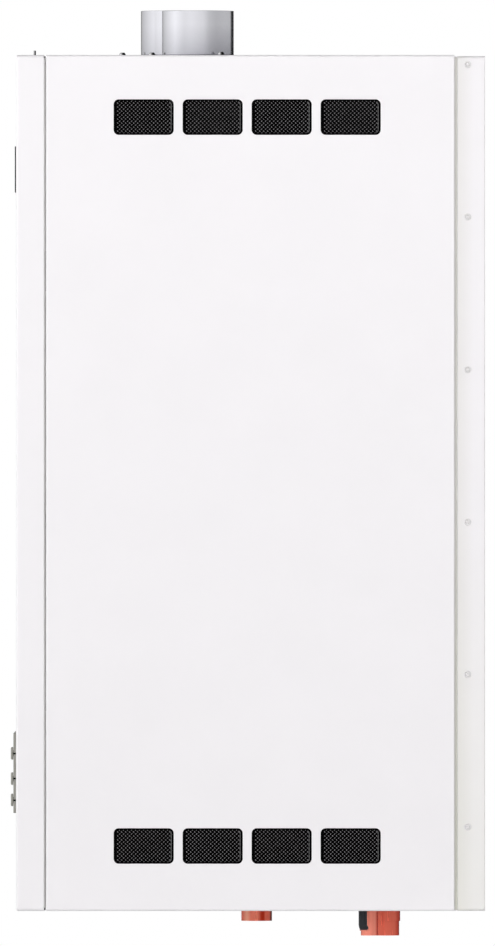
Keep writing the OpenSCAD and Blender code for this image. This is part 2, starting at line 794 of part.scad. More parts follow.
module pump_motor() color([0.3, 0.1, 0.1]) {
    difference() {
        union() {
            rod_y(pump_x, pump_z, pump_front - 6, pump_front, pump_radius + 3);
            rod_y(pump_x, pump_z, pump_front - 68, pump_front - 6, 40);
            rod_y(pump_x, pump_z, pump_front - 74, pump_front - 68, 34);
            block([pump_x - 26, pump_front - 66, pump_z + 30], [pump_x + 26, pump_front - 20, pump_z + 58]);
        }
        rod_y(pump_x, pump_z, pump_front - 32, pump_front + cut, pump_shaft + running_gap);
        rod_y(pump_x, pump_z, pump_front - 74 - cut, pump_front - 71, 11);
    }
}

// Water side
module flow_manifold() color([0.75, 0.6, 0.3]) {
    difference() {
        union() {
            block([-175, -135, 105], [-105, -65, 165]);
            translate([flow_at.x, flow_at.y, 85]) cylinder(r = 20, h = 20, $fn = 6);
            translate([-118, -118, 165]) cylinder(r = 15, h = 14, $fn = 6);
            rod([-105, -98, 140], [-45, -98, 140], 7);
        }
        rod_y(-118, 120, -136, -120, 5);
    }
}

module diverter_actuator() color([0.15, 0.15, 0.17]) {
    translate([-155, -100, 165]) cylinder(r = 16, h = 10);
    plate_z(175, 232, -156, -102, 44, 54, 6);
    plate_z(232, 240, -156, -102, 34, 44, 5);
}

module plate_exchanger() color("silver") {
    left = -45;
    right = 30;
    front = -150;
    rear = -90;
    block([left, front, 130], [right, front + 5, 330]);
    block([left, rear - 5, 130], [right, rear, 330]);
    block([left + 2, front + 5, 132], [right - 2, rear - 5, 328]);
    for (i = [0 : 11])
        block([left, front + 6.4 + i * 4, 130], [right, front + 8 + i * 4, 330]);
}

// Half the section of a round flat tank that lies between z = 0 and its depth
function tank_outline(radius, depth, round) = [
    [0, 0],
    for (step = [0 : 5])
        [radius - round + round * cos(90 - 18 * step), round - round * sin(90 - 18 * step)],
    for (step = [0 : 5])
        [radius - round + round * cos(18 * step), depth - round + round * sin(18 * step)],
    [0, depth]
];

module expansion_vessel() color("firebrick") {
    radius = 163;
    depth = 98;
    wall = 2;
    seam = 3;
    difference() {
        union() {
            translate([0, -sheet, 640]) rotate([90, 0, 0]) {
                rotate_extrude() polygon(tank_outline(radius, depth, 34));
                translate([0, 0, depth / 2 - seam]) cylinder(r = radius + 4, h = 2 * seam);
            }
            pipe_run([[0, -50, 482], [0, -50, 372], [0, -120, 372], [0, -120, 330]], 6);
        }
        translate([0, -sheet - wall, 640]) rotate([90, 0, 0])
            rotate_extrude() polygon(tank_outline(radius - wall, depth - 2 * wall, 32));
        translate([0, -50, 372]) cylinder(r = 4, h = 120);
    }
}

// A vertical pipe through the casing's floor, with a stop ring there and a bore in its lower end
module floor_pipe(at, radius, drop, points) {
    difference() {
        union() {
            pipe_run(concat([[at.x, at.y, -drop]], points), radius);
            translate([at.x, at.y, 0]) cylinder(r = radius + stop_ring, h = 5);
        }
        translate([at.x, at.y, -drop - cut]) cylinder(r = radius - 1, h = 30 + cut);
    }
}

module sleeve(at) {
    difference() {
        translate([at.x, at.y, -sleeve_drop]) cylinder(r = sleeve_radius, h = sleeve_drop + 20);
        translate([at.x, at.y, -sleeve_drop - cut])
            cylinder(r = heating_pipe - 0.5, h = sleeve_drop + 20 + 2 * cut);
    }
}

module flow_pipe() color([0.8, 0.4, 0.3]) {
    floor_pipe(flow_at, heating_pipe, heating_drop, [[flow_at.x, flow_at.y, 85]]);
    sleeve(flow_at);
}

module return_pipe() color([0.8, 0.4, 0.3]) {
    floor_pipe(return_at, heating_pipe, heating_drop,
               [[return_at.x, return_at.y, pump_z], [return_at.x, pump_rear + 14, pump_z]]);
    sleeve(return_at);
}

module hot_water_pipe() color([0.8, 0.4, 0.3])
    floor_pipe(hot_at, tap_pipe, tap_drop, [[hot_at.x, hot_at.y, 165], [-45, hot_at.y, 165]]);

module cold_water_pipe() color([0.8, 0.4, 0.3])
    floor_pipe(cold_at, tap_pipe, tap_drop, [[cold_at.x, cold_at.y, 215], [30, cold_at.y, 215]]);

module exchanger_flow_pipe() color([0.8, 0.4, 0.3])
    pipe_run([[40, drum_rear, 540], [40, -118, 540], [-118, -118, 540], [-118, -118, 179]], 10);

module exchanger_return_pipe() color([0.8, 0.4, 0.3])
    pipe_run([[pump_x + 40, -275, pump_z + 56], [pump_x + 40, -275, 250], [pump_x + 40, -140, 250],
              [pump_x + 40, -140, 520], [pump_x + 40, drum_rear, 520]], 10);

module condensate_trap() color([0.16, 0.16, 0.17]) {
    translate([spout_at.x, spout_at.y, 62]) cylinder(r = 26, h = 128);
    translate([spout_at.x, spout_at.y, 54]) cylinder(r = 20, h = 8);
    for (z = [76, 172]) translate([spout_at.x, spout_at.y, z]) cylinder(r = 28, h = 8);
    pipe_run([[spout_at.x, spout_at.y, 190], [spout_at.x, spout_at.y, 340],
              [spout_at.x, -225, 340], [spout_at.x, -225, 400]], 9);
}

module condensate_spout() color([0.12, 0.12, 0.13]) {
    reach = 20;
    difference() {
        union() {
            translate([spout_at.x, spout_at.y, -reach + 3]) cylinder(r = spout_radius, h = reach - 3 + 54);
            translate([spout_at.x, spout_at.y, -reach]) cylinder(r1 = 3, r2 = spout_radius, h = 3);
        }
        translate([spout_at.x, spout_at.y, -reach - cut]) cylinder(r = 2.4, h = 30);
    }
}

module relief_valve() color([0.75, 0.6, 0.3]) {
    rod_y(relief_x, relief_z, -165, -135, 12);
    rod_y(relief_x, relief_z, -180, -165, 4);
    translate([relief_x, -150, relief_z - 26]) cylinder(r = 7, h = 18);
}

module relief_knob() color("red") {
    difference() {
        rod_y(relief_x, relief_z, -188, -166, 17);
        rod_y(relief_x, relief_z, -181, -165, 4 + running_gap);
        around_y(relief_x, relief_z, 8) rod_y(19, 0, -189, -165, 4);
    }
}

module pressure_gauge() color([0.2, 0.2, 0.2]) {
    y = gauge_at.y;
    difference() {
        rod_y(gauge_at.x, gauge_at.z, y - 22, y, 26);
        rod_y(gauge_at.x, gauge_at.z, y - 23, y - 14, 24);
    }
    rod_y(gauge_at.x, gauge_at.z, y - 18.6, y - 14, 0.8);
    rod_y(gauge_at.x, gauge_at.z, y, -150, 4);
}

module gauge_needle() color("black") {
    y = gauge_at.y;
    difference() {
        union() {
            rod_y(gauge_at.x, gauge_at.z, y - 17.4, y - 15.4, 2.4);
            rotate_about_gauge(-135) block([-0.7, y - 16.8, -6], [0.7, y - 16, 19]);
        }
        rod_y(gauge_at.x, gauge_at.z, y - 19, y - 13, 0.8 + running_gap);
    }
}

module rotate_about_gauge(angle) {
    translate([gauge_at.x, 0, gauge_at.z]) rotate([0, angle, 0]) children();
}

module support_frame() color("gainsboro") {
    post_front = -200;
    post_rear = -180;
    top = case_height - sheet;
    difference() {
        union() {
            block([222, post_front, sheet], [236, post_rear, top]);
            block([-118, post_front, sheet], [-106, post_rear, top]);
            block([-130, post_front, 318], [-106, post_front + 4, 348]);
        }
        block([222 - cut, post_front + 1.5, 30], [234.5, post_rear + cut, top - 30]);
        block([-116.5, post_front + 4, 30], [-106 + cut, post_rear + cut, 520]);
    }
}

rear_panel();
side_panel_right();
side_panel_left();
top_panel();
bottom_panel();
vent_grilles_right();
vent_grilles_left();
flange_rivets();
front_door();
door_gasket();
hinge_brackets();
hinge_pins();
magnet_catches();
badge_plate();
control_fascia();
display_window();
button_top();
button_middle();
button_bottom();
control_housing();
control_board();
exhaust_collar();
air_collar();
collar_screws();
exhaust_pipe();
flue_sump();
exchanger_drum();
exchanger_coil();
burner_door();
burner_tube();
burner_nuts();
ignition_electrode();
fan_housing();
fan_impeller();
fan_motor();
gas_air_mixer();
air_silencer();
gas_valve();
gas_inlet_pipe();
gas_supply_pipe();
pump_housing();
pump_impeller();
pump_motor();
flow_manifold();
plate_exchanger();
diverter_actuator();
expansion_vessel();
flow_pipe();
return_pipe();
hot_water_pipe();
cold_water_pipe();
exchanger_flow_pipe();
exchanger_return_pipe();
condensate_trap();
condensate_spout();
relief_valve();
relief_knob();
pressure_gauge();
gauge_needle();
support_frame();
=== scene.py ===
import math

import bmesh
import bpy
from mathutils import Matrix, Vector


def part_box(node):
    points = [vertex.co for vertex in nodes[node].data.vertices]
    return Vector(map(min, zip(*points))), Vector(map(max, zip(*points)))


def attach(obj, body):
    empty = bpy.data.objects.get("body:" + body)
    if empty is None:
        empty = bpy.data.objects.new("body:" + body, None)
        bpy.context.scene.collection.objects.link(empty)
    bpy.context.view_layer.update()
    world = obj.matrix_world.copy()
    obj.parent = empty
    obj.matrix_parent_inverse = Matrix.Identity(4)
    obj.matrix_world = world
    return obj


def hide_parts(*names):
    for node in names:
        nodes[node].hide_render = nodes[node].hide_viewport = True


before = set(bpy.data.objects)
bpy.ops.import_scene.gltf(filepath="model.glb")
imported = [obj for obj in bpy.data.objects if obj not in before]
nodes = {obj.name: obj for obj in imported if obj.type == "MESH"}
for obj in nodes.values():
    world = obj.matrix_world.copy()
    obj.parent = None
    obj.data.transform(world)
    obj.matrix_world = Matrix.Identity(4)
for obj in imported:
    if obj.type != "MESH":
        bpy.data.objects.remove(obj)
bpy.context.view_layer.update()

# Casing planes, read from the frame
side_low, side_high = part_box("side_panel_right")
door_low, door_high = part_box("front_door")
HALF_WIDTH = side_high.x
HEIGHT = side_high.z
CASE_FRONT = side_low.y
SIDE_BACK = side_high.y
MOUTH_HALF = side_low.x
DOOR_FRONT = door_low.y
DOOR_BACK = door_high.y
SHEET = 0.0012

# The picture that the camera matches
PICTURE_HEIGHT = 0.946
PICTURE_MIDDLE_Y = -0.2375
PICTURE_MIDDLE_Z = 0.438
LENS = 880
SENSOR = 36

# Places and radii of the pipes that leave through the casing's floor
FLOW_AT = (-0.150, -0.0991)
RETURN_AT = (0.090, -0.0991)
HOT_AT = (-0.090, -0.1151)
COLD_AT = (0.150, -0.1151)
GAS_AT = (-0.160, -0.2282)
SPOUT_AT = (0.190, -0.1213)
TAIL_RADIUS = 0.01425
SLEEVE_RADIUS = 0.01525
TAP_RADIUS = 0.0086

# Each pipe's place, the radius inside its black ring (standing in for the shade in the gap round the pipe)
# and the radius of its hole
FLOOR_PIPES = ((FLOW_AT, SLEEVE_RADIUS, 0.0162), (RETURN_AT, SLEEVE_RADIUS, 0.0162),
               (HOT_AT, TAP_RADIUS, 0.0096), (COLD_AT, TAP_RADIUS, 0.0096), (GAS_AT, 0.0156, 0.0166),
               (SPOUT_AT, 0.0042, 0.0056))


# Camera and lamps

def linked(name, data):
    thing = bpy.data.objects.new(name, data)
    bpy.context.scene.collection.objects.link(thing)
    return thing


def make_camera():
    data = bpy.data.cameras.new("camera")
    data.lens = LENS
    data.sensor_width = SENSOR
    data.clip_end = 300
    camera = linked("camera", data)
    distance = PICTURE_HEIGHT * LENS / SENSOR
    camera.location = (HALF_WIDTH + distance, PICTURE_MIDDLE_Y, PICTURE_MIDDLE_Z)
    camera.rotation_euler = (math.radians(90), 0, math.radians(90))
    bpy.context.scene.camera = camera


def make_lamp(name, place, target, size, power, spread=180):
    """A soft lamp that isn't mirrored in the polished parts; those show the studio walls instead."""
    data = bpy.data.lights.new(name, "AREA")
    data.shape = "RECTANGLE"
    data.size, data.size_y = size
    data.energy = power
    data.spread = math.radians(spread)
    lamp = linked(name, data)
    lamp.location = place
    lamp.rotation_euler = (Vector(target) - Vector(place)).to_track_quat("-Z", "Y").to_euler()
    lamp.visible_glossy = False
    lamp.visible_camera = False


# Shader nodes

def put(socket, value):
    """Links another node's output to a socket, or sets a plain value on it."""
    if isinstance(value, bpy.types.NodeSocket):
        socket.id_data.links.new(value, socket)
    elif socket.type == "RGBA":
        socket.default_value = (*value, 1)
    else:
        socket.default_value = value


def add_node(tree, kind, inputs, **settings):
    node = tree.nodes.new("ShaderNode" + kind)
    for name, value in settings.items():
        setattr(node, name, value)
    for key, value in inputs.items():
        put(node.inputs[key], value)
    return node


def math_node(operation, first, *others):
    inputs = dict(enumerate((first, *others)))
    return add_node(first.id_data, "Math", inputs, operation=operation).outputs[0]


def ranged(value, low, high, source=(0.3, 0.7)):
    """The value carried from its source range to the range from low to high."""
    inputs = {"Value": value, "From Min": source[0], "From Max": source[1], "To Min": low, "To Max": high}
    return add_node(value.id_data, "MapRange", inputs).outputs["Result"]


def grey_ramp(value, low, high, stops):
    """A grey level that follows stops of (value, level)."""
    node = add_node(value.id_data, "ValToRGB", {"Fac": ranged(value, 0, 1, (low, high))})
    ramp = node.color_ramp
    while len(ramp.elements) < len(stops):
        ramp.elements.new(0.5)
    for element, (at, level) in zip(ramp.elements, stops):
        element.position = (at - low) / (high - low)
        element.color = (level, level, level, 1)
    return node.outputs["Color"]


def noise(vector, scale):
    inputs = {"Scale": scale, "Detail": 3.0, "Vector": vector}
    return add_node(vector.id_data, "TexNoise", inputs).outputs[0]


def blended(factor, first, second):
    return add_node(factor.id_data, "Mix", {0: factor, 6: first, 7: second}, data_type="RGBA").outputs[2]


def mixed_shaders(factor, first, second):
    return add_node(factor.id_data, "MixShader", {0: factor, 1: first, 2: second}).outputs[0]


def compass(x, y):
    """The angle of a direction in degrees: 0 to the casing's right, -90 to its front."""
    return math_node("MULTIPLY", math_node("ARCTAN2", y, x), 180 / math.pi)


# The studio

LIGHT_SIDE = Vector((0.86, -0.51, 0.0))
LIGHT_LOW = 0.10
LIGHT_HIGH = 3.79
FILL_SIDE = Vector((-0.86, 0.50, 0.0))
FILL_HIGH = 3.0
LIGHT_TINT = (1.0, 0.977, 0.990)
LIGHT_BY_HEIGHT = ((-0.75, 0.85), (-0.15, 1.0), (0.12, 1.0), (0.70, 0.02))
WALLS_STRENGTH = 1.12
WALLS_BY_COMPASS = ((-180, 0.0), (-168, 0.06), (-150, 0.54), (-105, 0.84), (-80, 1.0), (-46, 0.80),
                    (-22, 0.84), (18, 0.74), (38, 0.56), (60, 0.49), (95, 0.51), (130, 0.48), (136, 0.0),
                    (168, 0.0), (180, 0.0))
WALLS_BY_HEIGHT = ((0.15, 1), (0.7, 0.62))


def towards(direction, side):
    """How nearly a direction points to a side, as the cosine of the angle between them."""
    node = add_node(direction.id_data, "VectorMath", {0: direction, 1: side}, operation="DOT_PRODUCT")
    return node.outputs["Value"]


def soft_light(tree, direction, apart):
    """Light for matt surfaces: strongest from the front right, weaker from the back left and above."""
    main = ranged(towards(direction, LIGHT_SIDE), LIGHT_LOW, LIGHT_HIGH, (-0.1, 1.0))
    fill = ranged(towards(direction, FILL_SIDE), 0, FILL_HIGH, (0.1, 0.8))
    level = grey_ramp(apart["Z"], -1, 1, LIGHT_BY_HEIGHT)
    strength = math_node("MULTIPLY", math_node("ADD", main, fill), level)
    return add_node(tree, "Background", {"Color": LIGHT_TINT, "Strength": strength}).outputs[0]


def studio_walls(tree, apart):
    """What polished parts mirror: bright walls in front, dimmer ones towards the wall, darkness behind."""
    walls = grey_ramp(compass(apart["X"], apart["Y"]), -180, 180, WALLS_BY_COMPASS)
    ceiling = grey_ramp(apart["Z"], -1, 1, WALLS_BY_HEIGHT)
    both = math_node("MULTIPLY", walls, ceiling)
    return add_node(tree, "Background", {"Color": both, "Strength": WALLS_STRENGTH}).outputs[0]


def make_world():
    world = bpy.data.worlds.new("studio")
    bpy.context.scene.world = world
    world.use_nodes = True
    tree = world.node_tree
    tree.nodes.clear()
    path = add_node(tree, "LightPath", {}).outputs
    direction = add_node(tree, "TexCoord", {}).outputs["Generated"]
    apart = add_node(tree, "SeparateXYZ", {0: direction}).outputs
    backdrop = add_node(tree, "Background", {"Color": (1, 1, 1)}).outputs[0]
    matt = soft_light(tree, direction, apart)
    lit = mixed_shaders(path["Is Glossy Ray"], matt, studio_walls(tree, apart))
    seen = mixed_shaders(path["Is Camera Ray"], lit, backdrop)
    add_node(tree, "OutputWorld", {"Surface": seen})


# Procedural materials

BLACK = (0.0, 0.0, 0.0)


def surface(name, colour, roughness, metallic=0.0, mottle=0.05, cloud=30, grain=700, stretch=(1, 1, 1),
            depth=0.00002, spread=0.06, coat=0.0, second=None, specular=0.5, streaks=False):
    """Colour that drifts by a broad noise, roughness and bump from a fine one, in the object's space."""
    material = bpy.data.materials.new(name)
    material.use_nodes = True
    tree = material.node_tree
    shader = tree.nodes["Principled BSDF"].inputs
    where = add_node(tree, "TexCoord", {}).outputs["Object"]
    stretched = add_node(tree, "Mapping", {"Vector": where, "Scale": stretch}).outputs["Vector"]
    drift = noise(stretched if streaks else where, cloud)
    fine = noise(stretched, grain)
    darker = [channel * (1 - mottle) for channel in colour]
    lighter = [min(1.0, channel * (1 + mottle)) for channel in (second or colour)]
    broad = ranged(drift, roughness - spread / 2, roughness + spread / 2)
    uneven = math_node("ADD", broad, ranged(fine, -spread / 2, spread / 2))
    bump = add_node(tree, "Bump", {"Strength": 1, "Distance": depth, "Height": fine}).outputs["Normal"]
    for key, value in (("Metallic", metallic), ("Coat Weight", coat), ("Specular IOR Level", specular),
                       ("Base Color", blended(ranged(drift, 0, 1), darker, lighter)),
                       ("Roughness", uneven), ("Normal", bump)):
        put(shader[key], value)
    return material


def parts_of(material, coordinate):
    """The x, y and z of a texture coordinate of the material."""
    tree = material.node_tree
    source = tree.nodes["Texture Coordinate"].outputs[coordinate]
    apart = add_node(tree, "SeparateXYZ", {0: source}).outputs
    return [apart[axis] for axis in "XYZ"]


def overlaid(material, factor, colour=BLACK):
    """The material with another colour laid over its own by a factor."""
    target = material.node_tree.nodes["Principled BSDF"].inputs["Base Color"]
    put(target, blended(factor, target.links[0].from_socket, colour))
    return material


def lacquer(name, roughness, grain):
    return surface(name, (0.0010, 0.0010, 0.0012), roughness, mottle=0.2, grain=grain, depth=0.00001,
                   specular=0.01)


def woven_black():
    """Black lacquer with a painted highlight on the raised crests, by the height of the wire over its
    plane.
    """
    material = lacquer("woven_black", 0.6, 2500)
    away = math_node("ABSOLUTE", parts_of(material, "Object")[0])
    low = MESH_PLANE + WIRE_RADIUS
    # Painted highlight: lighter where the wire rises out of its plane.
    crest_highlight = ranged(away, 0, 1, (low + 0.25 * MESH_CRIMP, low + 0.80 * MESH_CRIMP))
    return overlaid(material, crest_highlight, (0.34, 0.34, 0.35))


def frame_lacquer():
    """Black lacquer, with a painted highlight on the inner rim at the rear of each frame, where the rim
    faces forwards.
    """
    material = lacquer("frame_black", 0.5, 1500)
    forwards = math_node("MULTIPLY", parts_of(material, "Normal")[1], -1)
    from_middle = math_node("SUBTRACT", parts_of(material, "Object")[1], VENT_ROW_MIDDLE)
    place_in_vent = math_node("FRACT", math_node("DIVIDE", from_middle, VENT_PITCH))
    rear_half = math_node("GREATER_THAN", place_in_vent, 0.5)
    # Painted highlight on the forward-facing rim in the rear half of each vent.
    rim_highlight = math_node("MULTIPLY", ranged(forwards, 0, 1, (0.30, 0.6)), rear_half)
    return overlaid(material, rim_highlight, (0.22, 0.22, 0.225))


def flange_enamel(enamel):
    """The casing's enamel with painted shade: warm-tinted in the step beside the rear flange, yellow-tinted
    towards its foot, and along its top edge.
    """
    material = enamel.copy()
    material.name = "flange_enamel"
    y, z = parts_of(material, "Object")[1:]
    # Painted shade in the step beside the side panel's rear edge, tinted warm.
    step = ((-0.0320, 0.0), (-0.0285, 0.31), (-0.0276, 0.07), (-0.0266, 0.13), (-0.0110, 0.0))
    overlaid(material, grey_ramp(y, -0.032, 0.0, step), (0.25, 0.25, 0.02))
    # Painted shade, tinted yellow, towards the foot.
    overlaid(material, ranged(z, 0.10, 0, (0.03, 0.40)), (0.55, 0.62, 0.22))
    # Painted shade along the top edge.
    return overlaid(material, ranged(z, 0, 0.22, (0.8540, 0.8549)))


def flue_steel(name, colour):
    """Polished stainless steel, with painted shade towards the foot of a collar, deeper on its rear side.
    """
    material = surface(name, colour, 0.17, 1, mottle=0.006, cloud=8, grain=500, stretch=(1, 1, 0.02),
                       depth=0.0000001, spread=0.02)
    y, z = parts_of(material, "Object")[1:]
    # Painted shade near the collar's foot, stronger towards its rear.
    foot = ranged(z, 1, 0, (0.856, 0.890))
    rearwards = ranged(y, 0.21, 0.50, (-0.335, -0.255))
    return overlaid(material, math_node("MULTIPLY", foot, rearwards), (0.03, 0.03, 0.08))


def far_flue_steel():
    """The farther collar's steel: a lighter copy of the collar steel, painted light, with painted shade at
    its front.
    """
    material = flue_steel("far_flue_steel", (0.88, 0.88, 0.93))
    y = parts_of(material, "Object")[1]
    # Painted shade at the collar's front.
    return overlaid(material, ranged(y, 0.18, 0, (-0.3305, -0.3255)))


def bright_zinc():
    """Bright zinc, with painted shade where it faces the wall."""
    material = surface("bright_zinc", (0.80, 0.80, 0.81), 0.20, 1, mottle=0.05, cloud=300, grain=900)
    y = parts_of(material, "Normal")[1]
    # Painted shade on the side that faces the wall.
    return overlaid(material, ranged(y, 0, 1, (-0.45, 0.20)), (0.012, 0.012, 0.013))


def copper(name, colour, second, light_bands):
    """Copper drawn in fine streaks; bands are (stops by compass angle, colour) of painted shade, highlight
    and reflection, laid over it by the way its surface faces.
    """
    material = surface(name, colour, 0.24, 0.4, mottle=0.02, cloud=150, grain=520, stretch=(1, 1, 0.05),
                       depth=0.0000008, second=second, streaks=True)
    put(material.node_tree.nodes["Principled BSDF"].inputs["Specular Tint"], (0.45, 0.06, 0.03))
    angle = compass(*parts_of(material, "Normal")[:2])
    for stops, tint in light_bands:
        overlaid(material, grey_ramp(angle, -180, 180, stops), tint)
    return material


# Painted light laid over copper by the way its surface faces: painted shade on the side towards the wall, a
# painted highlight and a painted dark reflection band on the gas union.
COPPER_EDGE_SHADE = (((42, 0), (60, 0.8), (90, 0.95), (150, 0)), (0.62, 0.055, 0.028))
UNION_EDGE_SHADE = (((58, 0), (66, 0.9), (90, 0.95), (150, 0)), (0.16, 0.006, 0.002))
UNION_HIGHLIGHT = (((-60, 0), (-38, 0.65), (-22, 0)), (0.94, 0.52, 0.36))
UNION_REFLECTION_BAND = (((6, 0), (19, 0.95), (29, 0.95), (36, 0.15), (48, 0.1), (58, 0.2)), (0.52, 0.030, 0.008))


# Shapes

STRAIGHT = math.radians(178)


def middle_of(node):
    low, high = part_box(node)
    return (low + high) / 2


def rounded_path(points, radius, steps=6):
    """The same path with each inner corner turned into an arc."""
    points = [Vector(point) for point in points]
    path = [points[0]]
    for before, corner, after in zip(points, points[1:], points[2:]):
        back = (before - corner).normalized()
        ahead = (after - corner).normalized()
        opening = back.angle(ahead)
        if opening > STRAIGHT:
            path.append(corner)
            continue
        room = 0.48 * min((before - corner).length, (after - corner).length)
        reach = min(radius / math.tan(opening / 2), room)
        tight = reach * math.tan(opening / 2)
        centre = corner + (back + ahead).normalized() * (tight / math.sin(opening / 2))
        first = corner + back * reach - centre
        last = corner + ahead * reach - centre
        turn = math.pi - opening
        for step in range(steps + 1):
            share = step / steps
            arm = first * math.sin((1 - share) * turn) + last * math.sin(share * turn)
            path.append(centre + arm / math.sin(turn))
    path.append(points[-1])
    return path


def rectangle(low_x, low_y, high_x, high_y):
    return [(low_x, low_y), (high_x, low_y), (high_x, high_y), (low_x, high_y)]


def rounded_rectangle(middle, width, height, radius, steps=6):
    outline = []
    for right, up, start in ((1, 1, 0), (-1, 1, 90), (-1, -1, 180), (1, -1, 270)):
        for step in range(steps + 1):
            angle = math.radians(start + 90 * step / steps)
            outline.append((middle[0] + right * (width / 2 - radius) + radius * math.cos(angle),
                            middle[1] + up * (height / 2 - radius) + radius * math.sin(angle)))
    return outline


def circle(middle, radius, count):
    return [(middle[0] + radius * math.cos(math.tau * i / count),
             middle[1] + radius * math.sin(math.tau * i / count)) for i in range(count)]


def turned(face, across, up, out):
    """A point of a flat drawing put on a plane that faces x, y or z."""
    return {"x": (out, across, up), "y": (across, out, up), "z": (across, up, out)}[face]


def mesh_of(name, bm):
    mesh = bpy.data.meshes.new(name)
    bm.to_mesh(mesh)
    bm.free()
    return mesh


def add_to(bm, part):
    spare = mesh_of("spare", part)
    bm.from_mesh(spare)
    bpy.data.meshes.remove(spare)


def ease(bm, edges, offset):
    bmesh.ops.bevel(bm, geom=edges, offset=offset, segments=2, profile=0.5, affect="EDGES",
                    clamp_overlap=True)


def flat_plate(bm, outline, holes, low, high, soft):
    """A flat plate with holes in the drawing plane, with its rims eased."""
    edges = []
    for loop in [outline, *holes]:
        ring = [bm.verts.new((point[0], point[1], low)) for point in loop]
        edges += [bm.edges.new((ring[i - 1], ring[i])) for i in range(len(ring))]
    filled = bmesh.ops.triangle_fill(bm, edges=edges, use_beauty=True)
    faces = [item for item in filled["geom"] if isinstance(item, bmesh.types.BMFace)]
    raised = bmesh.ops.extrude_face_region(bm, geom=faces, use_keep_orig=True)
    moved = [item for item in raised["geom"] if isinstance(item, bmesh.types.BMVert)]
    bmesh.ops.translate(bm, verts=moved, vec=(0, 0, high - low))
    bmesh.ops.recalc_face_normals(bm, faces=bm.faces)
    if soft:
        ease(bm, [edge for edge in bm.edges if edge.is_manifold and edge.calc_face_angle(0) > 1], soft)


def plate(bm, face, outline, holes, low, high, soft=0.0003):
    """A flat plate that faces x, y or z and reaches from low to high along it."""
    part = bmesh.new()
    flat_plate(part, outline, holes, low, high, soft)
    for vertex in part.verts:
        vertex.co = turned(face, *vertex.co)
    add_to(bm, part)


def block(bm, low, high, soft=0.0004):
    """A rectangular block with eased edges."""
    part = bmesh.new()
    low, high = Vector(low), Vector(high)
    size = Matrix.Diagonal((*(high - low), 1))
    bmesh.ops.create_cube(part, size=1, matrix=Matrix.Translation((low + high) / 2) @ size)
    if soft:
        ease(part, part.edges[:], soft)
    add_to(bm, part)


def skin(bm, rings):
    """Faces from each ring to the next; a ring of one point makes a tip."""
    for lower, upper in zip(rings, rings[1:]):
        for i in range(max(len(lower), len(upper))):
            corners = [lower[i % len(lower)], lower[(i + 1) % len(lower)],
                       upper[(i + 1) % len(upper)], upper[i % len(upper)]]
            corners = list(dict.fromkeys(corners))
            if len(corners) > 2:
                bm.faces.new(corners)


def band(inner, outer, low, high):
    """The lathe profile of a plain ring, or of a disc when its inner radius is 0."""
    return rectangle(inner, low, outer, high)


def lathe(bm, profile, place, axis="z", sides=64, closed=False):
    """A profile of (radius, height) turned round an axis through a place; closed joins its ends."""
    rings = []
    for radius, height in profile:
        points = circle((0, 0), radius, sides) if radius > 1e-6 else [(0, 0)]
        rings.append([bm.verts.new(Vector(place) + Vector(turned(axis, x, y, height))) for x, y in points])
    skin(bm, rings + rings[:1] if closed else rings)


def eased(profile, radius, steps=3, closed=False):
    """A lathe profile with its corners rounded."""
    points = [(r, h, 0) for r, h in profile]
    if closed:
        middle = ((points[0][0] + points[-1][0]) / 2, (points[0][1] + points[-1][1]) / 2, 0)
        points = [middle, *points, middle]
    path = rounded_path(points, radius, steps)
    if closed:
        path = path[:-1]
    return [(point.x, point.y) for point in path]


def turned_ring(bm, profile, radius, place, axis="z", sides=48, steps=3):
    """A closed ring turned from an eased profile."""
    lathe(bm, eased(profile, radius, steps, closed=True), place, axis, sides, closed=True)


def tube_ring(bm, centre, heading, side, radius, sides):
    """The section of a tube, or its one middle point when the radius is 0."""
    points = circle((0, 0), radius, sides) if radius else [(0, 0)]
    other = heading.cross(side)
    return [bm.verts.new(centre + side * x + other * y) for x, y in points]


def sweep(bm, path, radius, sides, bore=0.0, wall=0.001):
    """A round tube along a path; with a bore, its first end is open to that depth."""
    heading = (path[1] - path[0]).normalized()
    side = heading.orthogonal().normalized()
    rings = []
    if bore:
        for reach, width in ((bore, 0), (bore, radius - wall), (0, radius - wall)):
            rings.append(tube_ring(bm, path[0] + heading * reach, heading, side, width, sides))
    for i, point in enumerate(path):
        if i:
            arriving = (path[i] - path[i - 1]).normalized()
            leaving = (path[i + 1] - path[i]).normalized() if i + 1 < len(path) else arriving
            heading = (arriving + leaving).normalized()
            side = (side - heading * side.dot(heading)).normalized()
        rings.append(tube_ring(bm, point, heading, side, radius, sides))
    skin(bm, rings)
    if not bore:
        bm.faces.new(reversed(rings[0]))
    bm.faces.new(rings[-1])


def loft(bm, rings):
    """A skin over closed rings of equal length, capped at both ends."""
    rows = [[bm.verts.new(point) for point in ring] for ring in rings]
    skin(bm, rows)
    bm.faces.new(rows[0])
    bm.faces.new(rows[-1])


def mirrored(bm):
    """The same mesh on the other side of the plane x = 0."""
    for vertex in bm.verts:
        vertex.co.x = -vertex.co.x


def finished(name, bm, material, stands_for=(), crease=50, body="casing"):
    """Turns a bmesh into a piece of the object that rides on a body."""
    bmesh.ops.recalc_face_normals(bm, faces=bm.faces)
    mesh = mesh_of(name, bm)
    mesh.materials.append(material)
    mesh.shade_smooth()
    mesh.set_sharp_from_angle(angle=math.radians(crease))
    piece = linked(name, mesh)
    normals = piece.modifiers.new("normals", "WEIGHTED_NORMAL")
    normals.keep_sharp = True
    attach(piece, body)
    if stands_for:
        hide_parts(*stands_for)


